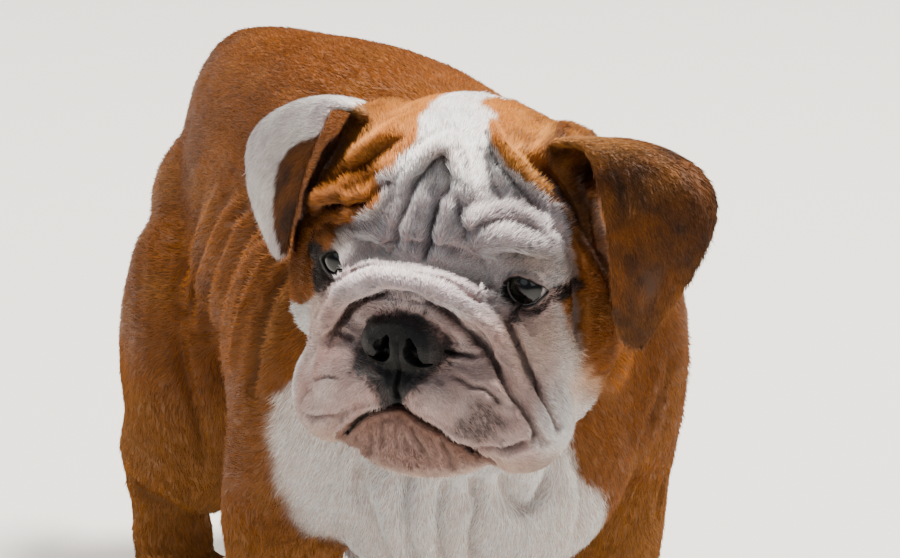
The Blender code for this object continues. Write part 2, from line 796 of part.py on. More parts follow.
def main():
    clear_scene()
    looks = {
        "red": material("coat_red", COAT_RED, 0.6),
        "white": material("coat_white", COAT_WHITE, 0.6),
        "dark": material("nose_leather", SKIN_DARK, 0.35),
        "eye": material("eye", SKIN_DARK, 0.08),
        "claw": material("claw", CLAW_HORN, 0.4),
    }
    nodes = make_trunk(looks)
    head_nodes = make_head(looks)
    wider = swollen(head_nodes["head"], GAP)
    for word in ("neck", "torso"):
        boolean(nodes[word], "DIFFERENCE", wider)
        largest_piece(nodes[word])
    discard(wider)
    nodes.update(head_nodes)
    stand_on_origin(nodes)
    bulldog = bpy.data.collections.new("english_bulldog")
    bpy.context.scene.collection.children.link(bulldog)
    for node in nodes.values():
        bpy.context.scene.collection.objects.unlink(node)
        bulldog.objects.link(node)


main()
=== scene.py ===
"""The look of the English bulldog puppy: skin, coat, eyes, claws, floor, lights and camera.

Lengths are in millimetres in the arrays below and turn into Blender's metres when a mesh is made.
"""

import math

import bmesh
import bpy
import numpy as np
from mathutils import Matrix, Vector
from mathutils.bvhtree import BVHTree


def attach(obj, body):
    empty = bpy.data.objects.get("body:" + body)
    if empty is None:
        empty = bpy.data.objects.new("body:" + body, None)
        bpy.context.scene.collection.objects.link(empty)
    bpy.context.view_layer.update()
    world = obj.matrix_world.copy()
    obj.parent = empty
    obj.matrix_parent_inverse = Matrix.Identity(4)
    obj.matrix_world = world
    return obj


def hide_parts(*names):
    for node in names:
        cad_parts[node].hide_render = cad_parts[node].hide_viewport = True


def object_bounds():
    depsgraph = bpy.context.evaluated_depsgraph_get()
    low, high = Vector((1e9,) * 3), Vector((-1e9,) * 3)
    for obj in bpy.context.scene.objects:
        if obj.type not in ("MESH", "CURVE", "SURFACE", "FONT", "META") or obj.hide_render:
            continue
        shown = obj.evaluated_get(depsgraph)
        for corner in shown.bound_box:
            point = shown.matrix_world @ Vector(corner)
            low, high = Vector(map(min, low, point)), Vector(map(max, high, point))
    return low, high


MM = 0.001
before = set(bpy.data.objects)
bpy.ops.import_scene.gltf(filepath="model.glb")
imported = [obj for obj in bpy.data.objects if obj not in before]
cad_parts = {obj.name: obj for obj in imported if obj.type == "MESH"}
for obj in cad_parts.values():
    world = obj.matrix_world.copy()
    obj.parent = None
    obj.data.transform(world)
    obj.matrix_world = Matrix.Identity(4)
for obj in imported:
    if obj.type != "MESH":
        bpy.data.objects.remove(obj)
start_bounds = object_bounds()
rng = np.random.default_rng(7)
BOX_LOW, BOX_HIGH = (np.array(corner[:]) / MM for corner in start_bounds)

# The head's own frame in the CAD: origin midway between the corneas, -y forward, z up.
HEAD_TURN = math.radians(-48)
EYE_LINE = np.array([-84.0, -90.0, 306.0])
EYE_SPREAD = 47.0
EYE_DEPTH = 11.5
EYE_RADIUS = 12.5

# The voxel of the skin's remesh, and how far the flesh swells before it.
SKIN_VOXEL = 1.8
SKIN_SWELL = 0.4
FLESH = [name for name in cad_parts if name.split("_")[0] not in ("eye", "claw")]
CLAWS = [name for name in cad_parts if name.startswith("claw")]
EARS = ("ear_left", "ear_right")
HEAD_PARTS = ("head", "lower_jaw", "nose", "eye_left", "eye_right")


def matrix(angle):
    return np.array(Matrix.Rotation(angle, 3, "Z"))


def node_points(name):
    """A CAD node's corners in millimetres."""
    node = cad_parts[name]
    points = np.empty(len(node.data.vertices) * 3)
    node.data.vertices.foreach_get("co", points)
    place = np.array(node.matrix_world)
    return (points.reshape(-1, 3) @ place[:3, :3].T + place[:3, 3]) / MM


def head_origin():
    """Where the head's frame has its origin, found from the eyeballs' boxes."""
    boxes = []
    for name in ("eye_left", "eye_right"):
        turned = node_points(name) @ matrix(-HEAD_TURN).T
        low, high = turned.min(0), turned.max(0)
        boxes.append(((low[0] + high[0]) / 2, high[1] - EYE_DEPTH - EYE_RADIUS, (low[2] + high[2]) / 2))
    return matrix(HEAD_TURN) @ np.mean(boxes, axis=0)


HEAD = head_origin()
SHIFT = HEAD - EYE_LINE


def to_head(points):
    return (points - HEAD) @ matrix(-HEAD_TURN).T


def from_head(points):
    return np.asarray(points, float) @ matrix(HEAD_TURN).T + HEAD


def turn_from_head(vectors):
    return np.asarray(vectors, float) @ matrix(HEAD_TURN).T


def value_noise(points, scale, seed=0):
    """Smooth noise between -1 and 1, alike on every run."""
    place = np.asarray(points) / scale
    cell = np.floor(place).astype(np.int64)
    part = place - cell
    part = part * part * (3 - 2 * part)
    total = np.zeros(len(place))
    for corner in range(8):
        step = np.array([corner & 1, corner >> 1 & 1, corner >> 2 & 1])
        key = cell + step
        bits = key[:, 0] * 73856093 ^ key[:, 1] * 19349663 ^ key[:, 2] * 83492791 ^ (seed * 7919 + 17)
        bits = (bits ^ bits >> 13) * 1274126177 & 0xFFFFFFFF
        bits = (bits ^ bits >> 16) & 0xFFFF
        total += np.where(step, part, 1 - part).prod(1) * (bits / 32767.5 - 1)
    return total


def soft_step(low, high, value):
    share = np.clip((value - low) / (np.asarray(high) - low), 0, 1)
    return share * share * (3 - 2 * share)


def mixed(base, other, share):
    return base + (np.asarray(other) - base) * np.asarray(share)[:, None]


def blend(base, other, share):
    """Rows of vectors turned towards others by a share for each row."""
    share = share[:, None]
    return base * (1 - share) + np.asarray(other) * share


def rows(*columns):
    """Vectors from columns, each of them an array or one number."""
    return np.stack(np.broadcast_arrays(*columns), 1)


def spot(*terms):
    """A soft mark from 0 to 1. Each term is an array of values, the mark's middle and its width."""
    return np.exp(-sum(((values - middle) / width) ** 2 for values, middle, width in terms))


def belongs(part, names, chosen):
    """Whether each point's part is one of the chosen names."""
    return np.isin(part, [names.index(name) for name in chosen])


# Surfaces as arrays


class Surface:
    """A triangle mesh held in arrays, in millimetres."""

    def __init__(self, mesh):
        mesh.calc_loop_triangles()
        self.points = np.empty(len(mesh.vertices) * 3)
        mesh.vertices.foreach_get("co", self.points)
        self.points = self.points.reshape(-1, 3) / MM
        self.triangles = np.empty(len(mesh.loop_triangles) * 3, np.int64)
        mesh.loop_triangles.foreach_get("vertices", self.triangles)
        self.triangles = self.triangles.reshape(-1, 3)
        edges = np.empty(len(mesh.edges) * 2, np.int64)
        mesh.edges.foreach_get("vertices", edges)
        self.edges = edges.reshape(-1, 2)
        self.degree = np.maximum(np.bincount(self.edges.ravel(), minlength=len(self.points)), 1)
        self.crease_shade = np.zeros(len(self.points))
        self.ridge_highlight = np.zeros(len(self.points))

    def neighbours(self, values):
        """The mean of each corner's neighbours."""
        flat = values.reshape(len(values), -1)
        total = np.empty_like(flat)
        a, b = self.edges.T
        for axis in range(flat.shape[1]):
            column = flat[:, axis]
            total[:, axis] = np.bincount(a, column[b], len(flat)) + np.bincount(b, column[a], len(flat))
        return (total / self.degree[:, None]).reshape(values.shape)

    def relax(self, rounds, weight):
        """Rounds off the surface and keeps its volume, by Taubin's two steps."""
        weight = weight[:, None]
        for _ in range(rounds):
            self.points = self.points + 0.5 * weight * (self.neighbours(self.points) - self.points)
            self.points = self.points - 0.52 * weight * (self.neighbours(self.points) - self.points)

    def spread(self, values, rounds):
        for _ in range(rounds):
            values = 0.5 * values + 0.5 * self.neighbours(values)
        return values

    def normals(self):
        a, b, c = (self.points[self.triangles[:, i]] for i in range(3))
        faces = np.cross(b - a, c - a)
        total = np.empty_like(self.points)
        for axis in range(3):
            total[:, axis] = sum(
                np.bincount(self.triangles[:, i], faces[:, axis], len(self.points)) for i in range(3)
            )
        return total / np.maximum(np.linalg.norm(total, axis=1), 1e-9)[:, None]

    def tree(self, chosen=None):
        """A search tree of the triangles, or of those whose corners are all chosen."""
        faces = self.triangles if chosen is None else self.triangles[chosen[self.triangles].all(1)]
        return BVHTree.FromPolygons(self.points.tolist(), faces.tolist())


def put(name, data):
    """A new object in the scene."""
    made = bpy.data.objects.new(name, data)
    bpy.context.scene.collection.objects.link(made)
    return made


def mesh_from(name, points, faces, colours):
    """A mesh object from arrays in millimetres, with a colour for each corner point."""
    mesh = bpy.data.meshes.new(name)
    sides = faces.shape[1]
    mesh.vertices.add(len(points))
    mesh.vertices.foreach_set("co", (points * MM).ravel())
    mesh.loops.add(faces.size)
    mesh.loops.foreach_set("vertex_index", faces.ravel().astype(np.int32))
    mesh.polygons.add(len(faces))
    mesh.polygons.foreach_set("loop_start", np.arange(0, faces.size, sides, dtype=np.int32))
    mesh.update(calc_edges=True)
    mesh.polygons.foreach_set("use_smooth", np.ones(len(faces), bool))
    layer = mesh.color_attributes.new("Col", "FLOAT_COLOR", "POINT")
    rgba = np.ones((len(colours), 4), np.float32)
    rgba[:, :3] = np.clip(colours, 0, 1)
    layer.data.foreach_set("color", rgba.ravel())
    return put(name, mesh)


def joined(names):
    """The named CAD nodes in one bmesh."""
    mesh = bmesh.new()
    for name in names:
        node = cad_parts[name]
        copy = node.data.copy()
        copy.transform(node.matrix_world)
        mesh.from_mesh(copy)
        bpy.data.meshes.remove(copy)
    bmesh.ops.remove_doubles(mesh, verts=mesh.verts, dist=1e-6)
    return mesh


def raw_skin():
    """One closed surface round the flesh and the eyeballs, fused by a voxel remesh."""
    mesh = joined((*FLESH, "eye_left", "eye_right"))
    bmesh.ops.recalc_face_normals(mesh, faces=mesh.faces)
    mesh.normal_update()
    for vertex in mesh.verts:
        vertex.co += vertex.normal * SKIN_SWELL * MM
    data = bpy.data.meshes.new("raw")
    mesh.to_mesh(data)
    mesh.free()
    raw = put("raw", data)
    remesh = raw.modifiers.new("fuse", "REMESH")
    remesh.mode = "VOXEL"
    remesh.voxel_size = SKIN_VOXEL * MM
    graph = bpy.context.evaluated_depsgraph_get()
    fused = bpy.data.meshes.new_from_object(raw.evaluated_get(graph))
    bpy.data.objects.remove(raw)
    return fused


def parts_near(points):
    """The name of the CAD node nearest to each point, as an index into a list of names."""
    names = [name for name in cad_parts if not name.startswith("claw")]
    corners, faces, owner = [], [], []
    offset = 0
    for index, name in enumerate(names):
        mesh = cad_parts[name].data
        mesh.calc_loop_triangles()
        corner = node_points(name)
        corners.append(corner)
        for triangle in mesh.loop_triangles:
            faces.append([offset + i for i in triangle.vertices])
            owner.append(index)
        offset += len(corner)
    tree = BVHTree.FromPolygons(np.concatenate(corners).tolist(), faces)
    found = np.array([owner[tree.find_nearest(point)[2]] for point in points.tolist()])
    return names, found


def refine(data, chosen):
    """Splits each chosen face in four. chosen takes face middles in the head's frame."""
    mesh = bmesh.new()
    mesh.from_mesh(data)
    mesh.faces.ensure_lookup_table()
    middles = np.array([face.calc_center_median()[:] for face in mesh.faces]) / MM
    picked = np.nonzero(chosen(to_head(middles)))[0]
    edges = {edge for index in picked for edge in mesh.faces[index].edges}
    bmesh.ops.subdivide_edges(mesh, edges=list(edges), cuts=1, use_grid_fill=True)
    bmesh.ops.triangulate(mesh, faces=[face for face in mesh.faces if len(face.verts) > 4])
    mesh.to_mesh(data)
    mesh.free()
    data.update()


def face_region(local):
    x, y, z = local.T
    return (np.abs(x) < 82) & (y < 34) & (z > -108) & (z < 74)


def fine_region(local):
    x, y, z = local.T
    eyes = (np.hypot(np.abs(x) - EYE_SPREAD, z * 1.2) < 18) & (y < 16)
    nose = (np.abs(x + 1) < 29) & (z > -56) & (z < -4) & (y < -8)
    mouth = (np.abs(np.abs(x) * 0.6 - (-50 - z)) < 12) & (np.abs(x) < 48) & (y < -8)
    return eyes | nose | mouth


# Folds

# A fold is a row: its height, width and end fade, and then the x, y, z of each point of its path.
# Folds of the face, in the head's frame.
FACE_FOLDS = [
    # the slanting folds between the right ear and the brow
    [2.0, 3.0, 0.3, -21, 32, 67, -27, 18, 62, -37, 15, 54, -46, 18, 46, -56, 17, 33],
    [-2.6, 2.0, 0.25, -18, 13, 61, -26, 12, 56, -39, 14, 44, -48, 13, 36, -55, 5, 30],
    [2.3, 3.2, 0.3, -18, 7, 53, -27, 9, 46, -38, 12, 39, -44, 9, 36, -50, 6, 32, -60, 10, 25],
    [-4.2, 2.0, 0.1, -20, 6, 42, -26, 4, 37, -31, -2, 32, -39, -1, 29, -49, 4, 26, -58, 6, 22, -70, 19, 13],
    [4.4, 5.0, 0.2, -46, 3, 10, -40, 5, 15, -31, 2, 18, -23, 0, 18, -19, 0, 11],
    [-2.4, 2.2, 0.2, -8, 1, 41, -11, -2, 31, -14, -4, 22, -17, -1, 14, -21, 0, 7],
    # the inverted V of the forehead and the furrow under it
    [3.0, 4.2, 0.1, -27, 4, 36, -18, 6, 45, -11, 7, 51, -3, 9, 58, 4, 12, 63, 10, 13, 60, 14, 11, 56, 17, 8, 50,
     19, 5, 43, 22, 3, 37],
    [-3.2, 2.0, 0.12, -9, 0, 35, -8, 1, 42, -4, 2, 48, 0, 4, 53, 3, 8, 56, 7, 6, 52, 9, 3, 46],
    [-3.0, 4.0, 0.25, 21, 14, 62, 24, 10, 55, 28, 8, 49, 31, 8, 44, 35, 8, 42],
    [-4.2, 2.0, 0.1, 9, 3, 47, 7, 2, 40, 4, 1, 33, 2, -4, 21, 0, -7, 10],
    [2.2, 3.0, 0.45, -1, 3, 50, -3, 1, 41, -6, -2, 32, -9, -4, 20, -11, -5, 12, -12, -8, 6],
    [2.2, 3.2, 0.45, 11, 2, 45, 12, 0, 37, 9, -3, 26, 8, -3, 17, 11, -5, 11, 13, -8, 6],
    [-2.6, 2.0, 0.2, 12, 1, 43, 15, 0, 34, 18, -3, 27, 18, -1, 20],
    # the left brow
    [-2.3, 2.4, 0.25, 17, -1, 18, 23, -3, 26, 30, -2, 31, 37, 0, 33, 44, 1, 32, 51, 2, 30, 57, 4, 26],
    [3.6, 6.5, 0.2, 22, 0, 15, 30, -2, 20, 38, -2, 21, 46, -1, 21, 54, 2, 19, 60, 8, 14, 64, 12, 6],
    [-0.7, 1.6, 0.2, 30, 0, 36, 37, 2, 37, 44, 2, 36, 51, 3, 32],
    [1.0, 2.8, 0.25, 23, 4, 38, 20, 0, 33, 18, -3, 28],
    [-0.6, 4.2, 0.3, 25, 2, 36, 31, 2, 38, 40, 3, 38, 49, 4, 34, 57, 7, 28],
    # the fold that frames the left side of the face
    [4.4, 3.4, 0.12, 17, 30, 68, 25, 20, 63, 31, 18, 57, 38, 17, 51, 45, 19, 42, 53, 18, 34, 60, 18, 26, 67, 19,
     16, 72, 21, 6, 75, 25, -4, 76, 26, -14, 76, 26, -26, 74, 22, -35],
    [-5.4, 2.2, 0.08, 19, 22, 66, 25, 16, 61, 30, 13, 55, 36, 14, 48, 43, 14, 41, 50, 12, 34, 58, 11, 27, 63, 15,
     18, 65, 17, 8, 67, 16, -2, 68, 15, -10, 69, 13, -20, 70, 14, -30],
    [-3.0, 3.4, 0.15, 35, 24, 59, 44, 26, 49, 53, 26, 39, 63, 23, 29, 71, 24, 16, 75, 29, 0, 77, 30, -12],
    # the right cheek's upright folds behind the eye
    [5.2, 8.0, 0.2, -72, 22, 14, -76, 26, 2, -77, 28, -12, -76, 28, -26, -73, 28, -38, -69, 28, -48],
    [-4.6, 2.0, 0.15, -66, 14, 6, -69, 17, -6, -70, 18, -18, -68, 17, -30],
    [1.4, 2.4, 0.2, -70, 15, 0, -68, 11, -12, -65, 7, -23],
    # the left cheek's edge
    [2.4, 5.0, 0.25, 78, 36, -26, 77, 34, -33, 76, 31, -38, 74, 29, -44],
    # the roll over the nose, and the flat skin above it
    [-2.6, 4.2, 0.3, -20, -19, 16, -12, -19, 18, -2, -19, 18, 8, -19, 17, 18, -18, 14, 25, -17, 11],
    [-4.2, 1.9, 0.1, -59, -6, -38, -55, -8, -25, -51, -10, -18, -46, -12, -11],
    [-3.2, 4.2, 0.35, 20, -21, 13, 27, -19, 10, 33, -17, 6, 38, -15, 2, 42, -13, -3],
    [-5.3, 1.9, 0.04, -31, -16, 4, -23, -20, 9, -12, -22, 13, -4, -22, 14, 7, -23, 13, 21, -22, 9, 30, -20, 4, 36,
     -17, -2, 42, -14, -6, 46, -13, -12, 51, -11, -26, 53, -9, -34, 57, -8, -41, 62, -9, -48, 66, -8, -55, 68, -5,
     -63],
    [2.4, 4.0, 0.06, -52, -10, -36, -44, -17, -21, -36, -20, -10, -25, -24, 0, -15, -25, 6, -2, -26, 8, 10, -25,
     7, 21, -25, 3, 30, -22, -4, 38, -20, -12, 43, -16, -23, 48, -14, -34, 54, -13, -45, 62, -14, -54, 65, -12,
     -62],
    [-4.2, 1.9, 0.05, -44, -13, -33, -42, -13, -28, -39, -12, -22, -34, -13, -16, -25, -19, -8, -17, -21, -4, -8,
     -26, -1, -1, -26, 0, 6, -27, 0, 12, -22, -3, 18, -20, -8, 26, -20, -14, 30, -15, -20, 34, -13, -25, 39, -14,
     -31, 45, -19, -36, 50, -20, -42, 54, -18, -48, 58, -18, -54, 61, -17, -61, 63, -14, -68],
    [1.6, 2.4, 0.15, -25, -21, -14, -19, -19, -9, -8, -21, -6, 3, -22, -6, 10, -22, -8, 17, -22, -12],
    [-2.8, 1.3, 0.2, -44, -13, -28, -36, -15, -29, -29, -20, -29],
    [-3.4, 1.3, 0.15, 20, -26, -24, 25, -20, -27, 30, -18, -28, 36, -15, -28],
    [-2.0, 1.4, 0.2, 57, -18, -54, 62, -16, -61, 65, -10, -69],
    # the upper lip
    [-1.8, 1.3, 0.2, 22, -27, -35, 28, -28, -36, 34, -29, -38, 40, -27, -39, 45, -26, -43, 50, -23, -47],
    [-3.4, 1.6, 0.12, 24, -31, -65, 31, -27, -68, 38, -26, -69, 46, -24, -69, 53, -24, -67, 58, -21, -64, 61, -17,
     -59],
    [2.0, 4.0, 0.15, 24, -31, -56, 33, -29, -60, 43, -27, -61, 52, -24, -58, 56, -21, -52],
    [-1.6, 1.4, 0.2, -30, -29, -44, -38, -26, -46, -46, -22, -50],
    [-1.8, 1.6, 0.2, -26, -31, -58, -36, -28, -64, -46, -23, -68, -55, -19, -66],
    [-1.4, 1.4, 0.2, -50, -22, -54, -54, -20, -64, -54, -18, -76],
    [1.5, 2.4, 0.1, 5, -37, -49, 14, -36, -52, 24, -33, -57, 33, -28, -64, 40, -22, -72],
    [1.5, 2.4, 0.1, -5, -37, -49, -13, -36, -52, -23, -32, -58, -31, -26, -68, -36, -20, -78],
    # the lower lip and the chin
    [-1.7, 1.4, 0.15, 7, -36, -58, 9, -36, -65, 13, -33, -74, 14, -29, -82],
    [-1.0, 1.3, 0.2, 15, -34, -61, 17, -32, -68, 18, -29, -77],
    [-2.0, 1.5, 0.15, 20, -33, -63, 23, -30, -73, 22, -24, -83],
    [-1.5, 1.4, 0.2, 28, -28, -70, 30, -24, -78, 28, -18, -86],
    [-1.3, 1.3, 0.2, -7, -36, -57, -8, -35, -66, -10, -31, -75],
    [-1.8, 1.5, 0.2, -14, -33, -66, -15, -32, -73, -20, -25, -83],
    [-1.4, 1.4, 0.2, -22, -28, -68, -25, -25, -76, -27, -19, -85],
    [-0.9, 1.3, 0.25, 0, -36, -58, -1, -35, -66, 0, -31, -78],
    [-0.9, 1.2, 0.25, 3, -34, -60, 4, -34, -70, 5, -29, -81],
    [-2.0, 1.8, 0.2, -30, -18, -86, -16, -26, -88, 2, -29, -89, 20, -24, -88],
]
# The mouth's line and the groove over it, as (x, z) seen from the front.
MOUTH = [
    (-38, -88), (-35, -80), (-32, -75), (-27, -69), (-20, -61), (-12, -55), (-3, -52), (3, -52), (12, -56),
    (20, -60), (26, -64), (33, -70), (38, -77), (42, -86),
]
PHILTRUM = [(0.5, -34), (0, -42), (0, -52)]

# How much the folds' heights and widths are drawn up.
FACE_DEPTH = 1.15
BODY_DEPTH = 1.7
CHEST_DEPTH, CHEST_WIDTH = 1.4, 1.3
# The swelling on both sides of a crease, as a share of its depth.
SWELL = 0.32
# Creases deeper than the first have ridges of their own. Hollows wider than the second stay plain.
PLAIN_DEPTH = -5.2
BROAD = 3.9

# Folds of the body, in the CAD's body frame.
BODY_FOLDS = [
    # the skin bunched over the right shoulder and the ribs
    [-2.4, 3.4, 0.15, -98, 44, 274, -104, 48, 262, -111, 48, 250, -116, 47, 236, -119, 46, 220, -119, 46, 202],
    [2.4, 3.4, 0.12, -97, 58, 276, -103, 63, 265, -109, 63, 257, -113, 65, 248, -116, 66, 239, -118, 67, 226,
     -118, 67, 206],
    [-2.8, 2.6, 0.12, -98, 68, 275, -104, 71, 264, -109, 75, 255, -113, 78, 244, -116, 80, 232, -117, 81, 216,
     -116, 82, 198],
    [2.8, 3.6, 0.12, -95, 78, 276, -102, 83, 264, -107, 88, 252, -110, 93, 240, -111, 97, 226, -110, 100, 210,
     -107, 103, 190],
    [-3.0, 3.0, 0.12, -90, 92, 274, -97, 100, 260, -99, 108, 246, -99, 114, 232, -98, 120, 216, -95, 124, 198],
    [2.6, 4.0, 0.12, -86, 106, 272, -90, 114, 258, -93, 123, 243, -93, 131, 228, -92, 141, 210, -88, 150, 188],
    [-2.6, 3.0, 0.12, -84, 118, 268, -88, 125, 255, -90, 135, 240, -91, 147, 224, -89, 162, 204, -84, 178, 182],
    [2.4, 4.0, 0.12, -82, 130, 270, -87, 138, 256, -90, 148, 240, -90, 160, 222, -87, 178, 202, -80, 200, 180],
    [-2.4, 3.0, 0.12, -82, 142, 268, -87, 151, 253, -89, 163, 236, -88, 179, 216, -81, 205, 196, -78, 216, 176],
    [2.2, 4.0, 0.15, -80, 154, 268, -86, 165, 250, -88, 178, 232, -85, 200, 210, -79, 222, 190, -80, 224, 170],
    [-2.0, 3.2, 0.15, -78, 168, 268, -85, 178, 250, -87, 192, 230, -82, 216, 208, -80, 229, 190, -82, 226, 170],
    [1.8, 4.5, 0.2, -76, 184, 264, -84, 194, 244, -83, 214, 222, -81, 231, 200, -83, 230, 180],
    [-1.8, 4.0, 0.2, -72, 206, 256, -78, 224, 226, -81, 237, 204, -85, 234, 184, -88, 228, 162],
    # where the cheek meets the left shoulder
    [2.6, 9.0, 0.25, 69, 14, 220, 66, 10, 212, 63, 7, 207, 59, 5, 201, 55, 3, 195],
    [-1.6, 3.0, 0.2, 97, 13, 206, 94, 12, 193, 90, 11, 184, 85, 11, 173, 84, 15, 159],
    # the hind legs' creases
    [-1.6, 2.8, 0.2, -104, 296, 66, -92, 280, 58, -76, 268, 55, -58, 266, 60],
    [0.9, 3.5, 0.2, -104, 296, 76, -92, 276, 70, -76, 264, 68, -58, 262, 72],
    [-0.8, 3.0, 0.2, -104, 298, 96, -92, 272, 92, -76, 258, 90],
    [-1.4, 2.8, 0.2, 76, 296, 66, 64, 280, 58, 48, 268, 55, 30, 266, 60],
    [-2.4, 4.0, 0.2, -84, 236, 170, -78, 232, 130, -70, 236, 98],
    # the left shoulder
    [-2.2, 3.0, 0.2, 117, 62, 200, 122, 56, 162, 118, 50, 126, 108, 46, 98],
    [-2.0, 3.0, 0.2, 104, 40, 206, 110, 34, 166, 106, 30, 130],
    [-1.8, 4.0, 0.2, 92, 16, 214, 98, 14, 176, 92, 16, 136],
]
CHEST_FOLDS = [
    [-3.4, 3.6, 0.15, -78, 10, 176, -76, 12, 158, -73, 9, 147, -68, 9, 128, -60, 14, 108],
    [2.4, 5.0, 0.2, -66, 0, 178, -66, 2, 156, -62, 2, 132],
    [-3.8, 3.0, 0.15, -56, -6, 178, -58, -2, 162, -59, -2, 146, -55, 0, 126, -48, 6, 104],
    [2.4, 4.5, 0.2, -48, -12, 176, -50, -8, 154, -48, -6, 130],
    [-3.4, 3.0, 0.15, -42, -16, 178, -43, -10, 162, -45, -9, 146, -42, -7, 126, -36, 2, 104],
    [-4.4, 3.2, 0.12, -36, -28, 180, -33, -26, 168, -25, -15, 153, -27, -12, 134, -24, -8, 112],
    [-4.0, 3.0, 0.12, -24, -32, 180, -14, -24, 166, -6, -17, 152, 2, -17, 147, 10, -16, 153, 14, -20, 168],
    [4.5, 7.0, 0.25, -8, -34, 178, 0, -28, 168, 4, -22, 158],
    [-2.6, 3.4, 0.2, 28, -12, 176, 34, -6, 148, 34, 0, 120],
]


def folds(table):
    """Each row of a table as a path, a height, a width and an end fade."""
    for height, width, fade, *path in table:
        yield np.reshape(path, (-1, 3)), height, width, fade


def dense_path(points, spacing=1.0):
    """A smooth curve through the points, sampled about every millimetre."""
    points = np.asarray(points, float)
    padded = np.vstack([2 * points[0] - points[1], points, 2 * points[-1] - points[-2]])
    curve = []
    for p0, p1, p2, p3 in zip(padded, padded[1:], padded[2:], padded[3:]):
        steps = max(2, int(np.linalg.norm(p2 - p1) / spacing))
        t = np.linspace(0, 1, steps, endpoint=False)[:, None]
        curve.append(
            0.5 * (2 * p1 + (p2 - p0) * t + (2 * p0 - 5 * p1 + 4 * p2 - p3) * t**2 + (3 * p1 - p0 - 3 * p2 + p3) * t**3)
        )
    return np.vstack([*curve, points[-1:]])


def near_face(path, tree):
    """Moves a path of the head's frame onto the nearest skin."""
    return np.array([tree.find_nearest(Vector(point))[0][:] for point in from_head(dense_path(path))])


def on_face(path, tree):
    """Drops a front view path, (x, z) in the head's frame, onto the face."""
    ahead = Vector(turn_from_head([0, 1, 0]))
    found = []
    for x, z in dense_path(path):
        hit = tree.ray_cast(Vector(from_head([x, -90, z])), ahead)[0]
        if hit is not None:
            found.append(hit[:])
    return np.array(found)


def on_body(path, tree):
    return np.array([tree.find_nearest(Vector(point + SHIFT))[0][:] for point in dense_path(path, 3.0)])


def path_distance(points, path):
    """Each point's distance to a path, and how far along the path, from 0 to 1."""
    start, step = path[:-1], path[1:] - path[:-1]
    best = np.full(len(points), np.inf)
    along = np.zeros(len(points))
    for i, (a, d) in enumerate(zip(start, step)):
        t = np.clip((points - a) @ d / max(d @ d, 1e-9), 0, 1)
        gap = ((points - a - t[:, None] * d) ** 2).sum(1)
        closer = gap < best
        best[closer] = gap[closer]
        along[closer] = (i + t[closer]) / len(start)
    return np.sqrt(best), along


def stroke(surface, normals, path, height, width, fade, share=1.0, shade=1.0, crest_highlight_share=0.25):
    """Raises or sinks the skin beside a path, and records painted shade along creases and painted highlights along
    crests. A crease swells the skin on both its sides.
    """
    share = np.broadcast_to(share, len(surface.points))
    reach = 5 * width
    box = ((surface.points > path.min(0) - reach) & (surface.points < path.max(0) + reach)).all(1)
    chosen = np.nonzero(box)[0]
    gap, along = path_distance(surface.points[chosen], path)
    ends = np.sqrt(np.clip(np.minimum(along, 1 - along) / max(fade, 1e-3), 0, 1))
    profile = spot((gap, 0, width))
    if height < 0 and width < BROAD:
        # painted shade: how dark the crease is painted
        depth = spot((gap, 0, 0.8 * width)) * ends * np.clip(-height / 4, 0, 1) * share[chosen] * shade
        surface.crease_shade[chosen] = np.maximum(surface.crease_shade[chosen], depth)
        if height > PLAIN_DEPTH:
            profile -= SWELL * spot((gap, 2.4 * width, 1.3 * width))
    # painted highlight: the crests of raised folds are painted lighter
    if height > 0:
        crest_highlight = spot((gap, 0, 0.7 * width)) * ends * share[chosen] * crest_highlight_share
        surface.ridge_highlight[chosen] = np.maximum(surface.ridge_highlight[chosen], crest_highlight)
    surface.points[chosen] += normals[chosen] * (height * profile * ends * share[chosen])[:, None]


# Eyes, nose and mouth

# The lids' edges for the left eye, 1, and the right, -1: x outwards from the eyeball's middle, and z there.
UPPER_LID = {
    1: ([-11.0, -9.4, -6.4, -1.8, 3.4, 8.0, 10.6], [-3.2, 1.8, 5.0, 6.5, 5.6, 3.2, 1.0]),
    -1: ([-6.6, -5.6, -3.6, -0.6, 3.0, 6.0, 7.6], [-2.0, 2.0, 4.6, 5.8, 4.8, 2.4, 0.0]),
}
LOWER_LID = {
    1: ([-11.0, -8.0, -4.6, 0.6, 5.2, 8.6, 10.6], [-3.2, -5.2, -6.4, -7.2, -5.4, -1.9, 1.0]),
    -1: ([-6.6, -5.0, -2.0, 1.6, 4.4, 6.4, 7.6], [-2.0, -4.6, -6.2, -6.0, -4.6, -2.2, 0.0]),
}
# How far from its middle the eyeball's front still curves for the lids.
LID_REACH = 10.2
# Skin that bulges forward beside the inner corners: x, z, height, width and tallness.
EYE_HOODS = ((-37.2, 3.5, 9.5, 5.6, 8.0), (32.5, 6.0, 3.0, 4.5, 6.0))


def inside_outline(flat, outline):
    """Whether each point of (x, z) lies inside a closed outline."""
    inside = np.zeros(len(flat), bool)
    for (ax, az), (bx, bz) in zip(outline, np.roll(outline, -1, axis=0)):
        if az == bz:
            continue
        crosses = (az > flat[:, 1]) != (bz > flat[:, 1])
        inside ^= crosses & (flat[:, 0] < ax + (flat[:, 1] - az) / (bz - az) * (bx - ax))
    return inside


def outline_gap(flat, outline):
    """Each point's distance to a closed outline, negative inside it."""
    outline = np.asarray(outline, float)
    gap, _ = path_distance(flat, np.vstack([outline, outline[:1]]))
    return np.where(inside_outline(flat, outline), -gap, gap)


def lid_outline(side):
    upper, lower = UPPER_LID[side], LOWER_LID[side]
    across = np.linspace(upper[0][0], upper[0][-1], 25)
    top = [(side * (EYE_SPREAD + a), np.interp(a, *upper)) for a in across]
    bottom = [(side * (EYE_SPREAD + a), np.interp(a, *lower)) for a in across[-2:0:-1]]
    outline = np.array(top + bottom)
    return outline if side > 0 else outline[::-1]


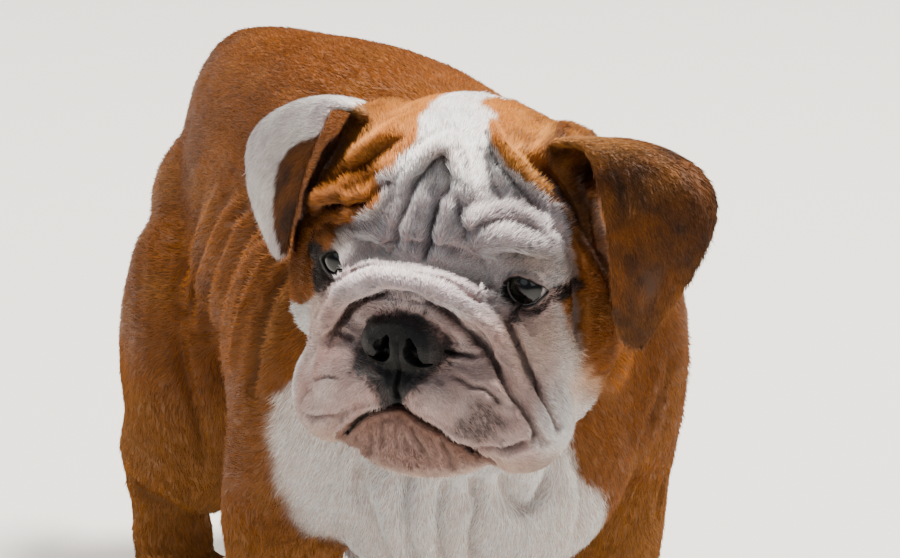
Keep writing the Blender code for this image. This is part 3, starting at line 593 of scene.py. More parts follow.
def lid_gap(local):
    """How far each point lies outside its eye's opening in the front view, negative inside."""
    gap = np.full(len(local), 99.0)
    near = (np.abs(np.abs(local[:, 0]) - EYE_SPREAD) < 26) & (np.abs(local[:, 2]) < 24) & (local[:, 1] < 30)
    for side in (1, -1):
        chosen = near & (local[:, 0] * side > 0)
        gap[chosen] = outline_gap(local[chosen][:, [0, 2]], lid_outline(side))
    return gap


def ball_depth(local):
    """How deep the eyeball's front lies behind the cornea's plane, level past its rim."""
    across, up = np.abs(local[:, 0]) - EYE_SPREAD, local[:, 2]
    radial = np.minimum(across**2 + up**2, LID_REACH**2)
    return EYE_DEPTH - np.sqrt(EYE_RADIUS**2 - radial)


def rim_gap(local):
    """The distance to the opening along the lids: skin well ahead of the ball counts as far."""
    ahead = ball_depth(local) - 4.0 - local[:, 1]
    return lid_gap(local) + np.maximum(ahead, 0)


def set_lids(surface):
    """Opens the lids in front of each eyeball and lays their rims on it."""
    local = to_head(surface.points)
    near = (np.hypot(np.abs(local[:, 0]) - EYE_SPREAD, local[:, 2]) < 24) & (local[:, 1] < 18)
    chosen = np.nonzero(near)[0]
    local = local[chosen]
    x, y, z = local.T
    gap = lid_gap(local)
    ball = ball_depth(local)
    lid = ball - 1.1 - 1.5 * soft_step(-2.0, 3.0, z) * soft_step(-0.2, 1.6, gap) - 0.5 * spot((gap, 1.4, 1.0))
    lid = np.minimum(lid, y + 2.5)
    inner = np.abs(x) < EYE_SPREAD - 6
    share = soft_step(np.where(inner, 3.6, 6.5), 1.4, gap)
    depth = y * (1 - share) + lid * share
    for middle, level, height, wide, tall in EYE_HOODS:
        depth -= height * spot((x, middle, wide), (z, level, tall)) * soft_step(-0.3, 1.0, gap)
    inside = soft_step(0.2, -0.5, gap)
    local[:, 1] = depth * (1 - inside) + (ball + 3.0) * inside
    surface.points[chosen] = from_head(local)


# The left nostril's middle line as (x, z), and its half width along that line.
NOSTRIL = [(5.4, -18.5), (6.2, -21.0), (6.6, -24.5), (8.2, -28.0), (11.5, -30.2), (15.5, -29.6)]
NOSTRIL_WIDTH = [1.2, 2.6, 3.2, 2.5, 1.3, 0.5]
# The black pigment round the nose and down to the lip, as (x, z) seen from the front.
PIGMENT = [
    (-12, -12), (-20, -16), (-24, -23), (-25, -31), (-25, -38), (-21, -41), (-15, -39), (-10, -42), (-8, -47),
    (-7, -51), (0, -53), (3, -48), (8, -42), (12, -37), (17, -33), (21, -28), (21, -22), (16, -15), (8, -10),
    (-3, -9),
]
# The grey patch on the left upper lip.
PATCH = [(27, -58), (33, -47), (36, -41), (43, -44), (47, -54), (46, -63), (38, -64), (31, -62)]


def nostril_depth(local):
    """How deep each point of the nose is sunk into a nostril, from 0 to 1."""
    total = np.zeros(len(local))
    for side in (1, -1):
        path = dense_path([(side * x, z) for x, z in NOSTRIL], 0.4)
        gap, along = path_distance(local[:, [0, 2]], path)
        width = np.interp(along, np.linspace(0, 1, len(NOSTRIL_WIDTH)), NOSTRIL_WIDTH)
        total = np.maximum(total, soft_step(1.15, 0.70, gap / width) * (local[:, 1] < -14))
    return total


def set_nose(surface):
    """Sinks the nostrils and the groove between them, and swells the wings."""
    local = to_head(surface.points)
    near = (np.abs(local[:, 0]) < 30) & (np.abs(local[:, 2] + 25) < 22) & (local[:, 1] < -8)
    chosen = np.nonzero(near)[0]
    local = local[chosen]
    x, y, z = local.T
    hole = nostril_depth(local)
    middle = spot((x, 0, 1.0)) * soft_step(-15, -21, z)
    wing = spot((np.abs(x), 13, 4.0), (z, -22.5, 4.5))
    y += 7.0 * hole + 1.3 * middle - 0.7 * wing * (1 - hole)
    surface.points[chosen] = from_head(local)


def nose_pad(local):
    """1 on the nose leather, 0 off it."""
    x, y, z = local.T
    round_pad = (np.abs((x + 4.0) / 19.6) ** 2.6 + np.abs((z + 22.8) / 11.3) ** 2.4) ** 0.4
    strip = np.abs(x) / np.interp(z, [-52, -44, -34], [2.0, 3.0, 8.0])
    foot = np.where((z < -30) & (z > -52), strip, 9.0)
    return soft_step(1.05, 0.93, np.minimum(round_pad, foot)) * (y < -16)


# Markings

ORANGE = np.array([0.440, 0.135, 0.010])
MAHOGANY = np.array([0.170, 0.046, 0.005])
GOLD = np.array([0.660, 0.285, 0.055])
DARK = np.array([0.040, 0.018, 0.010])
WHITE = np.array([0.900, 0.870, 0.860])
PINK = np.array([0.540, 0.325, 0.285])
SHADE_LILAC = np.array([0.480, 0.400, 0.440])
LIP = np.array([0.270, 0.120, 0.080])
BLACK = np.array([0.010, 0.009, 0.009])
GREY = np.array([0.110, 0.095, 0.095])

# The white's edges: heights, and how far it reaches there to the dog's right or left.
BLAZE_RIGHT = (
    [-110, -66, -45, -34, -30, -22, -6, 6, 11, 15, 18, 27, 31, 34, 37, 40, 44, 48, 52, 57, 61, 65, 68, 80],
    [90, 90, 90, 88, 72, 61, 50, 46, 46, 45, 41, 31, 25, 22, 25, 29, 22, 18, 16, 12, 11, 12, 15, 18],
)
BLAZE_LEFT = (
    [-110, -66, -45, -35, -25, -15, -5, 5, 14, 21, 29, 34, 41, 47, 52, 56, 62, 67, 70, 72, 80],
    [78, 76, 71, 69, 68, 66, 63, 66, 65, 64, 62, 58, 50, 41, 34, 29, 23, 18, 12, 8, 6],
)
CHEST_RIGHT = ([60, 100, 113, 125, 141, 155, 171, 188, 209, 240], [80, 84, 90, 96, 108, 116, 119, 118, 112, 80])
CHEST_LEFT = ([60, 89, 123, 141, 157, 172, 190, 215, 240], [60, 66, 56, 49, 32, 28, 28, 18, 8])
# Under this line lies the lower lip: distance from the middle, and height there.
LIP_LINE = ([0, 12, 20, 26, 33, 38, 42], [-52, -55, -60, -64, -70, -77, -86])


def head_white(local, wobble):
    """Where the head is white: the blaze, the muzzle and the lower cheeks."""
    x, y, z = local.T
    right = np.interp(z, *BLAZE_RIGHT)
    left = np.interp(z, *BLAZE_LEFT)
    taper = np.interp(y, [36, 60, 92, 110], [1.0, 0.85, 0.35, 0.0])
    taper = np.where(z > 20, taper, 1.0)
    edge = np.where(x > 0, -60.0, -30.0)
    behind = np.where(z > edge, soft_step(36, 27, y), soft_step(72, 52, y))
    behind = np.where(z > 55, 1.0, behind)
    inside = np.minimum(x + right * taper, left * taper - x) + wobble
    return soft_step(-1.6, 1.6, inside) * np.where(y > 28, np.maximum(behind, (z > 40) * 1.0), 1.0)


def coat_colour(points, part, names):
    """The coat's colour at points of the skin, and how white it is there."""

    def noise(scale, seed):
        return value_noise(points, scale, seed)

    def on(*chosen):
        return belongs(part, names, chosen)

    local = to_head(points)
    x, y, z = local.T
    side, along, level = (points - SHIFT).T
    wobble = 2.2 * noise(7.0, 1) + 1.2 * noise(2.6, 2)
    fine = noise(5.0, 4)
    head, ears = on(*HEAD_PARTS), on(*EARS)
    tone = 0.75 * (0.5 + 0.5 * noise(34.0, 3)) - 0.05 + 0.14 * fine
    red = mixed(np.tile(ORANGE, (len(points), 1)), MAHOGANY, np.clip(tone, 0, 1))
    red = mixed(red, GOLD, 0.22 * soft_step(0.1, 0.8, noise(21.0, 19)))
    # painted shade: the body's red is darker than the head's
    red = red * np.where(head | ears, 0.95, 0.70)[:, None]
    # the body: darker along the back, paler low on the flank
    colour = mixed(red, MAHOGANY * 1.25, 0.35 * (soft_step(270, 325, level) * ~head))
    colour = mixed(colour, GOLD, 0.25 * (soft_step(150, 100, level) * (along > 40) * ~head))
    # the white chest and toes
    inside = np.minimum(side + np.interp(level, *CHEST_RIGHT), np.interp(level, *CHEST_LEFT) - side)
    ahead = soft_step(46, 34, along + wobble + 0.05 * np.abs(side))
    below = soft_step(104, 98, level + wobble) * (np.abs(side) < 62) * (along < 190)
    chest = np.maximum(soft_step(-3, 3, inside + 2 * wobble) * ahead, below) * soft_step(246, 228, level)
    leg = on("front_leg_left", "front_leg_right")
    chest = np.where(leg, chest * soft_step(92, 104, level + wobble), chest)
    front_toes = on("front_paw_left", "front_paw_right") * soft_step(30, 20, level + 1.5 * wobble)
    hind_toes = on("hind_paw_left", "hind_paw_right") * soft_step(17, 9, level + wobble)
    white = np.where(head, 0.0, np.maximum(chest, np.maximum(front_toes, hind_toes)))
    # the head's red: gold towards the top of the head as painted sunlight, mottled gold and dark on the crown, with
    # darker patches by the ears
    dark_left = soft_step(24, 46, x) * soft_step(10, 34, z) * (0.6 + 0.6 * noise(9.0, 15))
    dark_right = soft_step(-30, -50, x) * soft_step(-14, 26, z) * (0.5 + 0.5 * noise(8.0, 18))
    crown = soft_step(22, 40, x) * soft_step(28, 46, z) * soft_step(100, 70, y)
    smudge = noise(11.0, 26) + 0.5 * noise(4.0, 27)
    for tint, share in (
        (GOLD, 0.45 * head * soft_step(20, 60, z) * (0.6 + 0.4 * fine)),
        (MAHOGANY * 0.4, np.clip(0.85 * head * dark_left, 0, 0.9)),
        (MAHOGANY * 0.5, 0.7 * head * dark_right),
        (GOLD, 0.5 * crown * soft_step(0.2, -0.5, smudge)),
        (MAHOGANY * 0.6, 0.75 * crown * soft_step(0.0, 0.7, smudge)),
    ):
        colour = mixed(colour, tint, share)
    white = np.where(head, head_white(local, wobble), white)
    throat = on("neck") & (z < -52) & (y < 60) & (x < 30)
    white = np.where(throat, np.maximum(white, soft_step(-50, -62, z + wobble)), white)
    # the ears: dark over the flap, gold along the top fold as a painted highlight, and a white rear band on the right
    # one
    cloud = 0.35 * noise(17.0, 6) + 0.28 * noise(5.0, 16) + 0.12 * fine
    flap = mixed(red * 0.85, DARK, np.clip(np.where(x > 0, 0.46, 0.72) + cloud, 0, 0.92))
    flap = mixed(flap, GOLD * 0.8, 0.35 * soft_step(54, 64, z))
    colour = np.where(ears[:, None], flap, colour)
    band = soft_step(-1.5, 1.5, -x - np.interp(z, *EAR_BAND) + 0.7 * wobble)
    white = np.where(ears, np.where(x < 0, band, 0.0), white)
    # what tints the white: cream on the body, and on the head pink, grey, gold and lilac, the lilac a painted bluish
    # shade
    front = head & (y < 2)
    spots = noise(5.5, 9) + 0.6 * noise(2.3, 10)
    grain = noise(1.6, 14)
    muzzle = head * soft_step(2, -12, z) * soft_step(26, 8, y) * soft_step(66, 56, np.abs(x))
    brow_grey = spot((x, 42, 12), (z, 36, 3.4)) * np.clip(0.55 + 0.6 * noise(1.8, 28), 0, 1)
    patch = soft_step(3.5, -3.0, outline_gap(local[:, [0, 2]], PATCH) + 3.5 * spots) * front
    rim = soft_step(3.5, -1.0, outline_gap(local[:, [0, 2]], PIGMENT) + 1.6 * grain + spots) * front
    chin = head * (z < np.interp(np.abs(x), *LIP_LINE)) * (np.abs(x) < 44) * (y < 20)
    chin = chin * soft_step(-90, -80, z + 2 * wobble)
    blotch = 0.6 * spots + 0.6 * noise(9.0, 17)
    flews = head * soft_step(-66, -80, z) * (y < 30)
    pale = np.tile(WHITE, (len(points), 1))
    for tint, share in (
        (SHADE_LILAC, np.clip(0.16 + 0.14 * fine, 0, 1) * soft_step(62, 30, z) * head),
        ([0.80, 0.68, 0.56], 0.45 * (1 - head) * np.clip(0.5 + 0.5 * noise(26.0, 24), 0, 1)),
        (SHADE_LILAC * 0.9, on("ear_right") * np.clip(0.35 + 0.3 * noise(10.0, 25) + 0.25 * fine, 0, 1)),
        (PINK * 0.92, muzzle * np.clip(0.72 + 0.25 * noise(9.0, 8), 0, 1)),
        (SHADE_LILAC * 1.1, 0.65 * head * spot((z, 4, 9)) * soft_step(-6, -14, y)),
        (SHADE_LILAC * 1.2, 0.5 * head * soft_step(50, 36, z) * soft_step(8, 16, z)),
        ([0.72, 0.56, 0.44], 0.5 * head * spot((np.abs(x), 58, 12), (z, -20, 14))),
        (GREY, 0.8 * head * brow_grey),
        ([0.42, 0.35, 0.26], 0.5 * head * spot((x, -26, 7), (z, 30, 7))),
        (PINK, 0.55 * head * spot((x, 4, 8), (z, 56, 5))),
        ([0.50, 0.40, 0.31], 0.7 * head * spot((np.abs(x), 50, 14), (z, 13, 7))),
        (GREY, muzzle * 0.5 * soft_step(0.55, 0.95, spots)),
        (GREY * 0.45, np.clip(0.95 * patch * (0.8 + 0.3 * grain), 0, 1)),
        (GREY * 0.4, 0.9 * rim),
        ([0.200, 0.098, 0.064], 0.85 * chin),
        ([0.11, 0.045, 0.03], chin * 0.8 * soft_step(0.0, 0.8, blotch)),
        ([0.55, 0.38, 0.27], 0.5 * flews * (1 - chin)),
        # painted rim light: gold along the outer edge of the left cheek
        (GOLD * 1.1, 0.75 * head * soft_step(58, 72, x) * soft_step(-74, -48, z) * soft_step(4, 20, y)),
    ):
        pale = mixed(pale, tint, share)
    colour = mixed(colour, pale, np.clip(white, 0, 1))
    # black hair round the eyes, drawn out to their outer corners
    across = np.abs(x) - EYE_SPREAD
    tail_left = spot((across, 14, 7.5), (z + 1.0 - 0.1 * (across - 12), 0, 4.2))
    lower_left = spot((across, 4, 9), (z + 8.8 - 0.5 * np.maximum(across - 4, 0), 0, 3.4))
    tail_right = spot((across, 10, 9.0), (z, 2.0, 4.6))
    tear_right = spot((across, 7, 7.5), (z, -8, 10.0))
    black = np.where(x > 0, np.maximum(tail_left, lower_left), np.maximum(tail_right, tear_right)) * (y < 26)
    ring = soft_step(3.2, 0.8, rim_gap(local) + 0.5 * grain) * 0.9
    black = np.maximum(soft_step(0.22, 0.55, black + 0.12 * grain), ring) * head
    return mixed(colour, BLACK * 1.2, 0.95 * black), white


def skin_colour(points, part, names, crease_shade=0.0):
    """The bare skin's colour, the coat's own but darker, and how bare it is, as on nose, lips and lids."""
    local = to_head(points)
    x, y, z = local.T
    flat = local[:, [0, 2]]
    colour, white = coat_colour(points, part, names)
    noise = value_noise(points, 4.0, 12)
    front = (y < 30) & (np.abs(x) < 85)
    mouth_gap, _ = path_distance(flat, dense_path(MOUTH))
    jaw = front & (z < np.interp(np.abs(x), *LIP_LINE)) & (np.abs(x) < 44) & (z > -100)
    lip = soft_step(14, 3, mouth_gap) * jaw
    line = soft_step(1.9, 0.5, mouth_gap) * front * (y < -6)
    smear = outline_gap(flat, PIGMENT) + 1.2 * noise + 0.8 * value_noise(points, 1.8, 13)
    smear = soft_step(0.8, -1.2, smear) * front * (y < -8)
    pad = nose_pad(local)
    rim = soft_step(1.7, 0.9, rim_gap(local) + 0.2 * noise)
    under = colour * 0.60
    for tint, share in (
        (PINK * 0.8, 0.5 * np.clip(white, 0, 1)),
        (LIP * 0.7, np.clip(lip * (0.85 + 0.3 * noise), 0, 1)),
        (BLACK * 2, 0.9 * line),
        (BLACK * 1.5, smear),
        (BLACK * 0.5, pad),
        (BLACK, rim),
    ):
        under = mixed(under, tint, share)
    # painted shade: the bare skin is darker in the creases
    under = under * (1 - 0.7 * np.broadcast_to(crease_shade, len(points)))[:, None]
    bare = np.clip(np.maximum.reduce([pad, 0.35 * smear, rim, line, 0.25 * lip]), 0, 1)
    return under, bare


# Coat

# The right ear's white rear band: heights, and how far out it begins there.
EAR_BAND = ([-12, 0, 10, 20, 30, 40, 46, 52, 58, 66], [80, 83, 85, 86, 86, 84, 80, 70, 58, 50])
# Tufts in all and in each piece. A tuft has three triangles and a patch of this size in the OFBake map.
TUFTS = 424000
PIECE = 60000
PATCH_SIZE = 0.003
# The legs and the middles of their charts, in the body frame.
LEGS = (("front", "left", 88, 66), ("front", "right", -88, 66), ("hind", "left", 46, 285), ("hind", "right", -74, 285))


def hair_lie(points, normals, part, names):
    """Which way the hair lies, along the skin."""
    x, y, z = to_head(points).T
    side, along, level = (points - SHIFT).T
    lie = np.tile([0.0, 1.0, -0.35], (len(points), 1))
    lie = blend(lie, rows(0.004 * side, 0.15, -1.0), soft_step(60, 10, along))
    lie = blend(lie, [0.0, 0.12, -1.0], soft_step(170, 120, level) * (np.abs(side) > 50))
    lie = blend(lie, [0.0, -0.9, -0.35], soft_step(34, 22, level))
    face = rows(x / 42, 0.55, (z + 18) / 42)
    face = blend(face, rows(x / 50, 0.25, -1.0), soft_step(-35, -50, z) * soft_step(40, 10, y))
    face = blend(face, [0.0, 1.0, -0.25], soft_step(20, 60, y))
    lie = np.where(belongs(part, names, HEAD_PARTS)[:, None], turn_from_head(face), lie)
    for name, out in (("ear_left", 1), ("ear_right", -1)):
        down = blend(np.array([out * 0.45, -0.25, -0.9]), [out * 1.0, -0.1, -0.25], soft_step(44, 62, z))
        lie = np.where((part == names.index(name))[:, None], turn_from_head(down), lie)
    lie = lie + 0.35 * np.stack([value_noise(points, 22.0, seed) for seed in (21, 22, 23)], 1)
    lie -= normals * (lie * normals).sum(1)[:, None]
    return lie / np.maximum(np.linalg.norm(lie, axis=1), 1e-6)[:, None]


def chart_place(points, part, names):
    """A place on an unwrap of the skin: one cylinder or ball for each part of the body."""
    x, y, z = to_head(points).T
    side, along, level = (points - SHIFT).T
    uv = np.zeros((len(points), 2))

    def turn(a, b):
        return np.arctan2(a, b) / (2 * math.pi) + 0.5

    def span(value, low, size):
        return np.clip((value - low) / size, 0, 1)

    def lay(chosen, across, up):
        uv[chosen] = np.stack([across, up], 1)[chosen]

    around = turn(side, level - 215)
    lay(slice(None), 0.01 + 0.98 * around, 0.56 + 0.43 * span(along, -80, 460))
    height = np.arctan2(z + 10, np.hypot(x, y - 45)) / math.pi + 0.5
    lay(belongs(part, names, HEAD_PARTS), 0.01 + 0.48 * turn(x, 45 - y), 0.14 + 0.39 * height)
    for number, (leg, word, middle, depth) in enumerate(LEGS):
        chosen = belongs(part, names, (f"{leg}_leg_{word}", f"{leg}_paw_{word}"))
        angle = turn(side - middle, along - depth)
        lay(chosen, 0.51 + 0.12 * number + 0.11 * angle, 0.14 + 0.39 * span(level, 0, 210))
    for number, name in enumerate(EARS):
        across = 0.01 + 0.24 * number + 0.12 * (y < 36) + 0.11 * span(np.abs(x), 40, 90)
        lay(part == names.index(name), across, 0.01 + 0.11 * span(z, -35, 110))
    lay(part == names.index("tail"), 0.55 + 0.10 * around, 0.01 + 0.10 * span(level, 220, 70))
    return uv


def grow_coat(surface, part, names, material):
    """Short tapered tufts over the whole skin, lying along it."""
    corner = surface.points[surface.triangles]
    area = np.linalg.norm(np.cross(corner[:, 1] - corner[:, 0], corner[:, 2] - corner[:, 0]), axis=1) / 2
    middle = corner.mean(1)
    owner = part[surface.triangles[:, 0]]
    headed = belongs(owner, names, (*HEAD_PARTS, *EARS))
    face = headed & (to_head(middle)[:, 1] < 45)
    thick = np.where(face, 3.4, np.where(headed, 1.6, 1.0))
    _, bare = skin_colour(middle, owner, names)
    crease_shade = surface.crease_shade[surface.triangles].mean(1)
    weight = area * thick * np.clip(1 - 1.15 * bare, 0, 1) * (1 - 0.55 * crease_shade) * (middle[:, 2] >= 1.5)
    picked = rng.choice(len(area), TUFTS, p=weight / weight.sum())
    a, b = rng.random(TUFTS), rng.random(TUFTS)
    flip = a + b > 1
    a[flip], b[flip] = 1 - a[flip], 1 - b[flip]
    shares = np.stack([1 - a - b, a, b], 1)[:, :, None]

    def at_root(values):
        return (values[surface.triangles[picked]].reshape(TUFTS, 3, -1) * shares).sum(1)

    root, normal = at_root(surface.points), at_root(surface.normals())
    normal /= np.linalg.norm(normal, axis=1)[:, None]
    owner, headed, face = owner[picked], headed[picked], face[picked]
    x, _, z = to_head(root).T
    ear = belongs(owner, names, EARS)
    muzzle = face & (z < 19) & (np.abs(x) < 66)
    brow = face & (z > 12) & (np.abs(x) < 62)
    sunken_shade, raised_highlight = at_root(surface.crease_shade)[:, 0], at_root(surface.ridge_highlight)[:, 0]
    # how the tufts lie and rise
    lie = hair_lie(root, normal, owner, names)
    sway = rng.normal(0, 0.20, TUFTS)[:, None]
    lie = lie * np.cos(sway) + np.cross(normal, lie) * np.sin(sway)
    side = np.cross(normal, lie)
    length = np.where(face, 4.0, np.where(headed, 5.0, 6.0))
    for chosen, size in ((muzzle, 2.8), (brow, 4.8), (ear, 4.0), (root[:, 2] < 60, 5.0)):
        length = np.where(chosen, size, length)
    length = length * rng.uniform(0.7, 1.25, TUFTS) * (1 - 0.5 * sunken_shade)
    wide = np.where(face | ear, 0.34, np.where(headed, 0.45, 0.52)) * rng.uniform(0.8, 1.2, TUFTS)
    rise = np.radians(np.where(muzzle, 13, np.where(face, 17, 10))) + rng.normal(0, 0.045, TUFTS)
    rise = np.clip(rise, 0.05, 0.9)[:, None]
    tip = root + length[:, None] * (lie * np.cos(rise) + normal * np.sin(rise))
    half = wide[:, None] / 2
    sunk = root - 0.25 * normal
    points = np.stack([sunk - side * half, sunk + side * half, sunk + normal * wide[:, None] * 0.7, tip], 1)
    points = np.clip(points, BOX_LOW + 0.2, BOX_HIGH - 0.2)
    # their colours, each tuft a little lighter or darker than its neighbours, with painted shade in creases and painted
    # highlights on crests
    colour, white = coat_colour(root, owner, names)
    shade = rng.normal(1.0, 0.13, TUFTS) * (1 + 0.10 * value_noise(root, 3.0, 31))
    shade = np.where(brow & (white > 0.5), 1.02 + 1.9 * (shade - 1.0), shade)
    shade = np.where((rng.random(TUFTS) < 0.10) & (white < 0.3), shade * 0.62, shade)
    shade = np.where(ear & (white < 0.3), shade * rng.normal(1.0, 0.22, TUFTS), shade)
    shade = np.clip(shade, 0.4, 1.5) * (1 - 0.7 * sunken_shade) * (1 + 0.55 * raised_highlight * (white < 0.5))
    colour = colour * shade[:, None]
    # painted depth shade: each tuft is darker at its root and lighter at its tip
    base = colour * np.where(white > 0.5, np.where(brow, 0.50, 0.66), 0.62)[:, None]
    lit_tip = np.clip(colour * 1.12, 0, 0.95)
    colours = np.stack([base, base, 0.5 * (base + lit_tip), lit_tip], 1)
    # the pieces
    chart = chart_place(root, owner, names)
    patch = PATCH_SIZE * np.array([[-0.5, -0.5], [0.5, -0.5], [0.0, 0.0], [0.0, 0.5]])
    corners = np.array([[0, 1, 3], [1, 2, 3], [2, 0, 3]])
    order = np.argsort(chart[:, 1] * 7 + chart[:, 0], kind="stable")
    made = []
    for number, start in enumerate(range(0, TUFTS, PIECE)):
        chosen = order[start : start + PIECE]
        faces = (np.arange(len(chosen))[:, None, None] * 4 + corners).reshape(-1, 3)
        piece = mesh_from(f"coat_{number + 1}", points[chosen].reshape(-1, 3), faces, colours[chosen].reshape(-1, 3))
        spots = (chart[chosen][:, None, :] + patch).reshape(-1, 2)[faces.ravel()]
        layer = piece.data.uv_layers.new(name="OFBake")
        layer.data.foreach_set("uv", spots.astype(np.float32).ravel())
        piece.data.materials.append(material)
        made.append(piece)
    return made


# Materials


# A layer of the mesh, the output that carries it and the socket it feeds.
COLOUR_LAYER = ("Col", "Color", "Base Color")
ROUGH_LAYER = ("Rough", "Fac", "Roughness")


def make_material(name, settings, layers=(COLOUR_LAYER,), bump=None):
    """A Principled material. bump is the scale, strength and distance of a noise."""
    made = bpy.data.materials.new(name)
    made.use_nodes = True
    tree = made.node_tree
    shader = tree.nodes["Principled BSDF"]
    for socket, value in settings.items():
        shader.inputs[socket].default_value = value
    for layer, output, socket in layers:
        source = tree.nodes.new("ShaderNodeAttribute")
        source.attribute_name = layer
        tree.links.new(source.outputs[output], shader.inputs[socket])
    if bump:
        noise = tree.nodes.new("ShaderNodeTexNoise")
        noise.inputs["Scale"].default_value = bump[0]
        noise.inputs["Detail"].default_value = 4.0
        place = tree.nodes.new("ShaderNodeTexCoord")
        tree.links.new(place.outputs["Object"], noise.inputs["Vector"])
        relief = tree.nodes.new("ShaderNodeBump")
        relief.inputs["Strength"].default_value = bump[1]
        relief.inputs["Distance"].default_value = bump[2]
        tree.links.new(noise.outputs["Fac"], relief.inputs["Height"])
        tree.links.new(relief.outputs["Normal"], shader.inputs["Normal"])
    return made


# Eyes and claws


def make_eye(side, word, material):
    """An eyeball with a painted iris and a low bulge for the cornea, turned to its gaze."""
    ball = bmesh.new()
    bmesh.ops.create_uvsphere(ball, u_segments=96, v_segments=64, radius=1.0)
    ball.transform(Matrix.Rotation(math.radians(90), 4, "X"))
    data = bpy.data.meshes.new("eye")
    ball.to_mesh(data)
    ball.free()
    unit = Surface(data)
    bpy.data.meshes.remove(data)
    ray = unit.points * MM
    gaze = np.array([0.0, -1.0, 0.20] if side > 0 else [-0.08, -1.0, 0.04])
    gaze /= np.linalg.norm(gaze)
    angle = np.degrees(np.arccos(np.clip(ray @ gaze, -1, 1)))
    radius = (EYE_RADIUS - 0.25) + 0.9 * soft_step(40, 12, angle)
    points = ray * radius[:, None] + np.array([side * EYE_SPREAD, EYE_DEPTH, 0.0])
    streak = value_noise(ray * 100, 6.0, 41) * 0.5 + 0.5
    # the iris darkens downwards and to the dog's left as painted shade, between the pupil and a dark ring
    shady = np.array([0.75, 0.0, -0.65])
    iris = np.outer(0.6 + 0.8 * streak, [0.024, 0.024, 0.015])
    iris = iris * soft_step(0.25, -0.35, ray @ shady - gaze @ shady)[:, None]
    iris = mixed(iris + 0.003, [0.003] * 3, soft_step(30, 38, angle))
    colour = mixed(iris, [0.002] * 3, soft_step(19, 15, angle))
    # painted shade: the right eye's white is darker than the left's
    white = np.outer(0.9 + 0.1 * streak, [0.50, 0.43, 0.41]) * (1.0 if side > 0 else 0.45)
    colour = mixed(colour, white, soft_step(42, 45.5, angle))
    # painted shade: the eyeball is darker where it turns under the lids
    colour = np.where(angle[:, None] > 60, colour * 0.5, colour)
    eye = mesh_from(f"eyeball_{word}", from_head(points), unit.triangles, colour)
    eye.data.materials.append(material)
    return eye


def make_claws(material):
    """All sixteen claws as one piece."""
    mesh = joined(CLAWS)
    data = bpy.data.meshes.new("claws")
    mesh.to_mesh(data)
    mesh.free()
    data.polygons.foreach_set("use_smooth", np.ones(len(data.polygons), bool))
    data.materials.append(material)
    return put("claws", data)


def make_skin():
    """The skin with its folds, lids and nostrils, and what the coat needs to know of it."""
    data = raw_skin()
    refine(data, face_region)
    refine(data, fine_region)
    surface = Surface(data)
    names, part = parts_near(surface.points)
    x, y, z = to_head(surface.points).T
    headed, ears = belongs(part, names, HEAD_PARTS), belongs(part, names, EARS)
    paws = belongs(part, names, [name for name in names if "_paw_" in name])
    # rounds off the remesh and sinks the skin by the coat's depth
    weight = np.where(ears | paws, 0.45, np.where(headed, 0.8, 1.0))
    surface.relax(36, surface.spread(weight, 6))
    depth = np.where(ears, 0.5, np.where(paws, 1.0, np.where(headed, 0.9, 2.2)))
    surface.points -= surface.normals() * surface.spread(depth, 30)[:, None]
    # the folds
    normals = surface.normals()
    head_tree, body_tree = surface.tree(headed), surface.tree(~headed & ~ears)
    off_ears = surface.spread(1.0 - ears, 3)
    off_head = surface.spread(1.0 - (headed | ears), 6)
    for path, height, width, fade in folds(FACE_FOLDS):
        stroke(surface, normals, near_face(path, head_tree), height * FACE_DEPTH, width, fade, off_ears)
    for path, height, width, fade in folds(BODY_FOLDS):
        stroke(surface, normals, on_body(path, body_tree), height * BODY_DEPTH, width, fade, off_head, 0.6, 1.0)
    for path, height, width, fade in folds(CHEST_FOLDS):
        path = on_body(path, body_tree)
        stroke(surface, normals, path, height * CHEST_DEPTH, width * CHEST_WIDTH, fade, off_head, 0.5)
    # the roll's end by the left eye's inner corner is smoothed
    surface.relax(16, spot((x, 34, 6), (z, 4, 6)) * (y < 4) * headed)
    surface.relax(2, np.where(headed, 0.6, 1.0))
    # the mouth, nose and lids
    normals, tree = surface.normals(), surface.tree()
    stroke(surface, normals, on_face(MOUTH, tree), -3.6, 1.3, 0.03)
    stroke(surface, normals, on_face(PHILTRUM, tree), -1.4, 0.9, 0.05)
    set_nose(surface)
    set_lids(surface)
    surface.points[:, 2] = np.maximum(surface.points[:, 2], 0.15)
    surface.points = np.clip(surface.points, BOX_LOW + 0.1, BOX_HIGH - 0.1)
    colour, bare = skin_colour(surface.points, part, names, surface.crease_shade)
    skin = mesh_from("skin", surface.points, surface.triangles, colour)
    layer = skin.data.attributes.new("Rough", "FLOAT", "POINT")
    layer.data.foreach_set("value", (0.64 - 0.14 * bare).astype(np.float32))
    both = (COLOUR_LAYER, ROUGH_LAYER)
    leather = {"Roughness": 0.42, "Specular IOR Level": 0.22}
    skin.data.materials.append(make_material("skin", {"Specular IOR Level": 0.30}, both, (900.0, 0.5, 0.0004)))
    skin.data.materials.append(make_material("nose", leather, bump=(1300.0, 0.9, 0.0006)))
    pad = nose_pad(to_head(surface.points))[surface.triangles].mean(1) > 0.5
    skin.data.polygons.foreach_set("material_index", pad.astype(np.int32))
    return skin, surface, part, names


# The photo's camera: its turn and rise in degrees, its distance, a pixel's size at the head,
# and the photo's width in pixels.
CAMERA_TURN, CAMERA_RISE = -24, 20
CAMERA_DISTANCE = 2.0
PIXEL = 0.459 * MM
PHOTO_WIDTH = 900
# How far the frame's middle lies from the eyes' middle, in metres.
FRAME_RIGHT, FRAME_DOWN = 0.0096, 0.0009


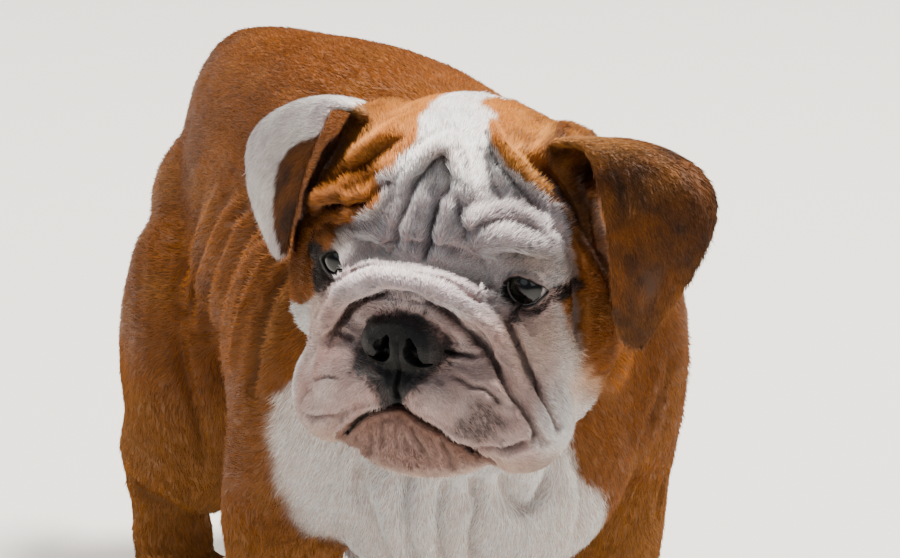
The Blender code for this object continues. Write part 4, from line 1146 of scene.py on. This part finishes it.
def stage_and_camera():
    """The floor, the lights and the photo's camera."""
    floor_mesh = bmesh.new()
    bmesh.ops.create_grid(floor_mesh, x_segments=1, y_segments=1, size=12.0)
    data = bpy.data.meshes.new("floor")
    floor_mesh.to_mesh(data)
    floor_mesh.free()
    data.materials.append(make_material("floor", {"Base Color": (0.74, 0.73, 0.70, 1), "Roughness": 0.9}, ()))
    floor = put("floor", data)
    world = bpy.data.worlds.new("studio")
    world.use_nodes = True
    sky = world.node_tree.nodes["Background"].inputs
    sky["Color"].default_value = (0.82, 0.90, 1.0, 1)
    sky["Strength"].default_value = 0.22
    bpy.context.scene.world = world
    azimuth, elevation = math.radians(CAMERA_TURN), math.radians(CAMERA_RISE)
    right = Vector((math.cos(azimuth), math.sin(azimuth), 0))
    level = Vector((-math.sin(azimuth), math.cos(azimuth), 0))
    view = level * math.cos(elevation) - Vector((0, 0, math.sin(elevation)))
    up = right.cross(view)
    target = Vector(HEAD * MM) + right * FRAME_RIGHT - up * FRAME_DOWN
    camera = bpy.data.cameras.new("camera")
    camera.sensor_width = 36
    camera.lens = camera.sensor_width * CAMERA_DISTANCE / PIXEL / PHOTO_WIDTH
    place = put("camera", camera)
    stand = target - view * CAMERA_DISTANCE
    place.matrix_world = Matrix([*zip(right, up, -view, stand), (0, 0, 0, 1)])
    bpy.context.scene.camera = place
    lamps = (
        ("key", right * 1.1 + level * 0.7 + Vector((0, 0, 2.7)), 0.6, 300, (1.0, 0.94, 0.86)),
        ("rim", -right * 1.3 + level * 1.0 + Vector((0, 0, 2.3)), 0.7, 105, (1.0, 0.94, 0.86)),
        ("fill", -right * 1.6 - level * 1.9 + Vector((0, 0, 1.3)), 1.8, 8, (0.88, 0.93, 1.0)),
        ("front", right * 0.9 - level * 2.2 + Vector((0, 0, 1.2)), 1.4, 7, (1.0, 0.98, 0.95)),
        ("top", -level * 0.2 + Vector((0, 0, 2.6)), 1.6, 6, (1.0, 0.98, 0.96)),
    )
    for name, offset, size, power, tint in lamps:
        light = bpy.data.lights.new(name, "AREA")
        light.shape = "DISK"
        light.size = size
        light.energy = power
        light.color = tint
        lamp = put(name, light)
        lamp.location = target + offset
        lamp.rotation_euler = (-offset).to_track_quat("-Z", "Y").to_euler()


def main():
    skin, surface, part, names = make_skin()
    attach(skin, "root")
    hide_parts(*FLESH)
    fur = make_material("coat", {"Roughness": 0.55, "Specular IOR Level": 0.20})
    for piece in grow_coat(surface, part, names, fur):
        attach(piece, "root")
    wet = {"Roughness": 0.15, "Specular IOR Level": 0.2, "Coat Weight": 0.45, "Coat Roughness": 0.02}
    glassy = make_material("eye", wet)
    for side, word in ((1, "left"), (-1, "right")):
        eye = make_eye(side, word, glassy)
        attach(eye, "root")
        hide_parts(f"eye_{word}")
    horn = {"Base Color": (0.10, 0.075, 0.06, 1), "Roughness": 0.35}
    claws = make_claws(make_material("claw", horn, (), (500.0, 0.25, 0.0005)))
    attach(claws, "root")
    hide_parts(*CLAWS)
    stage_and_camera()


main()
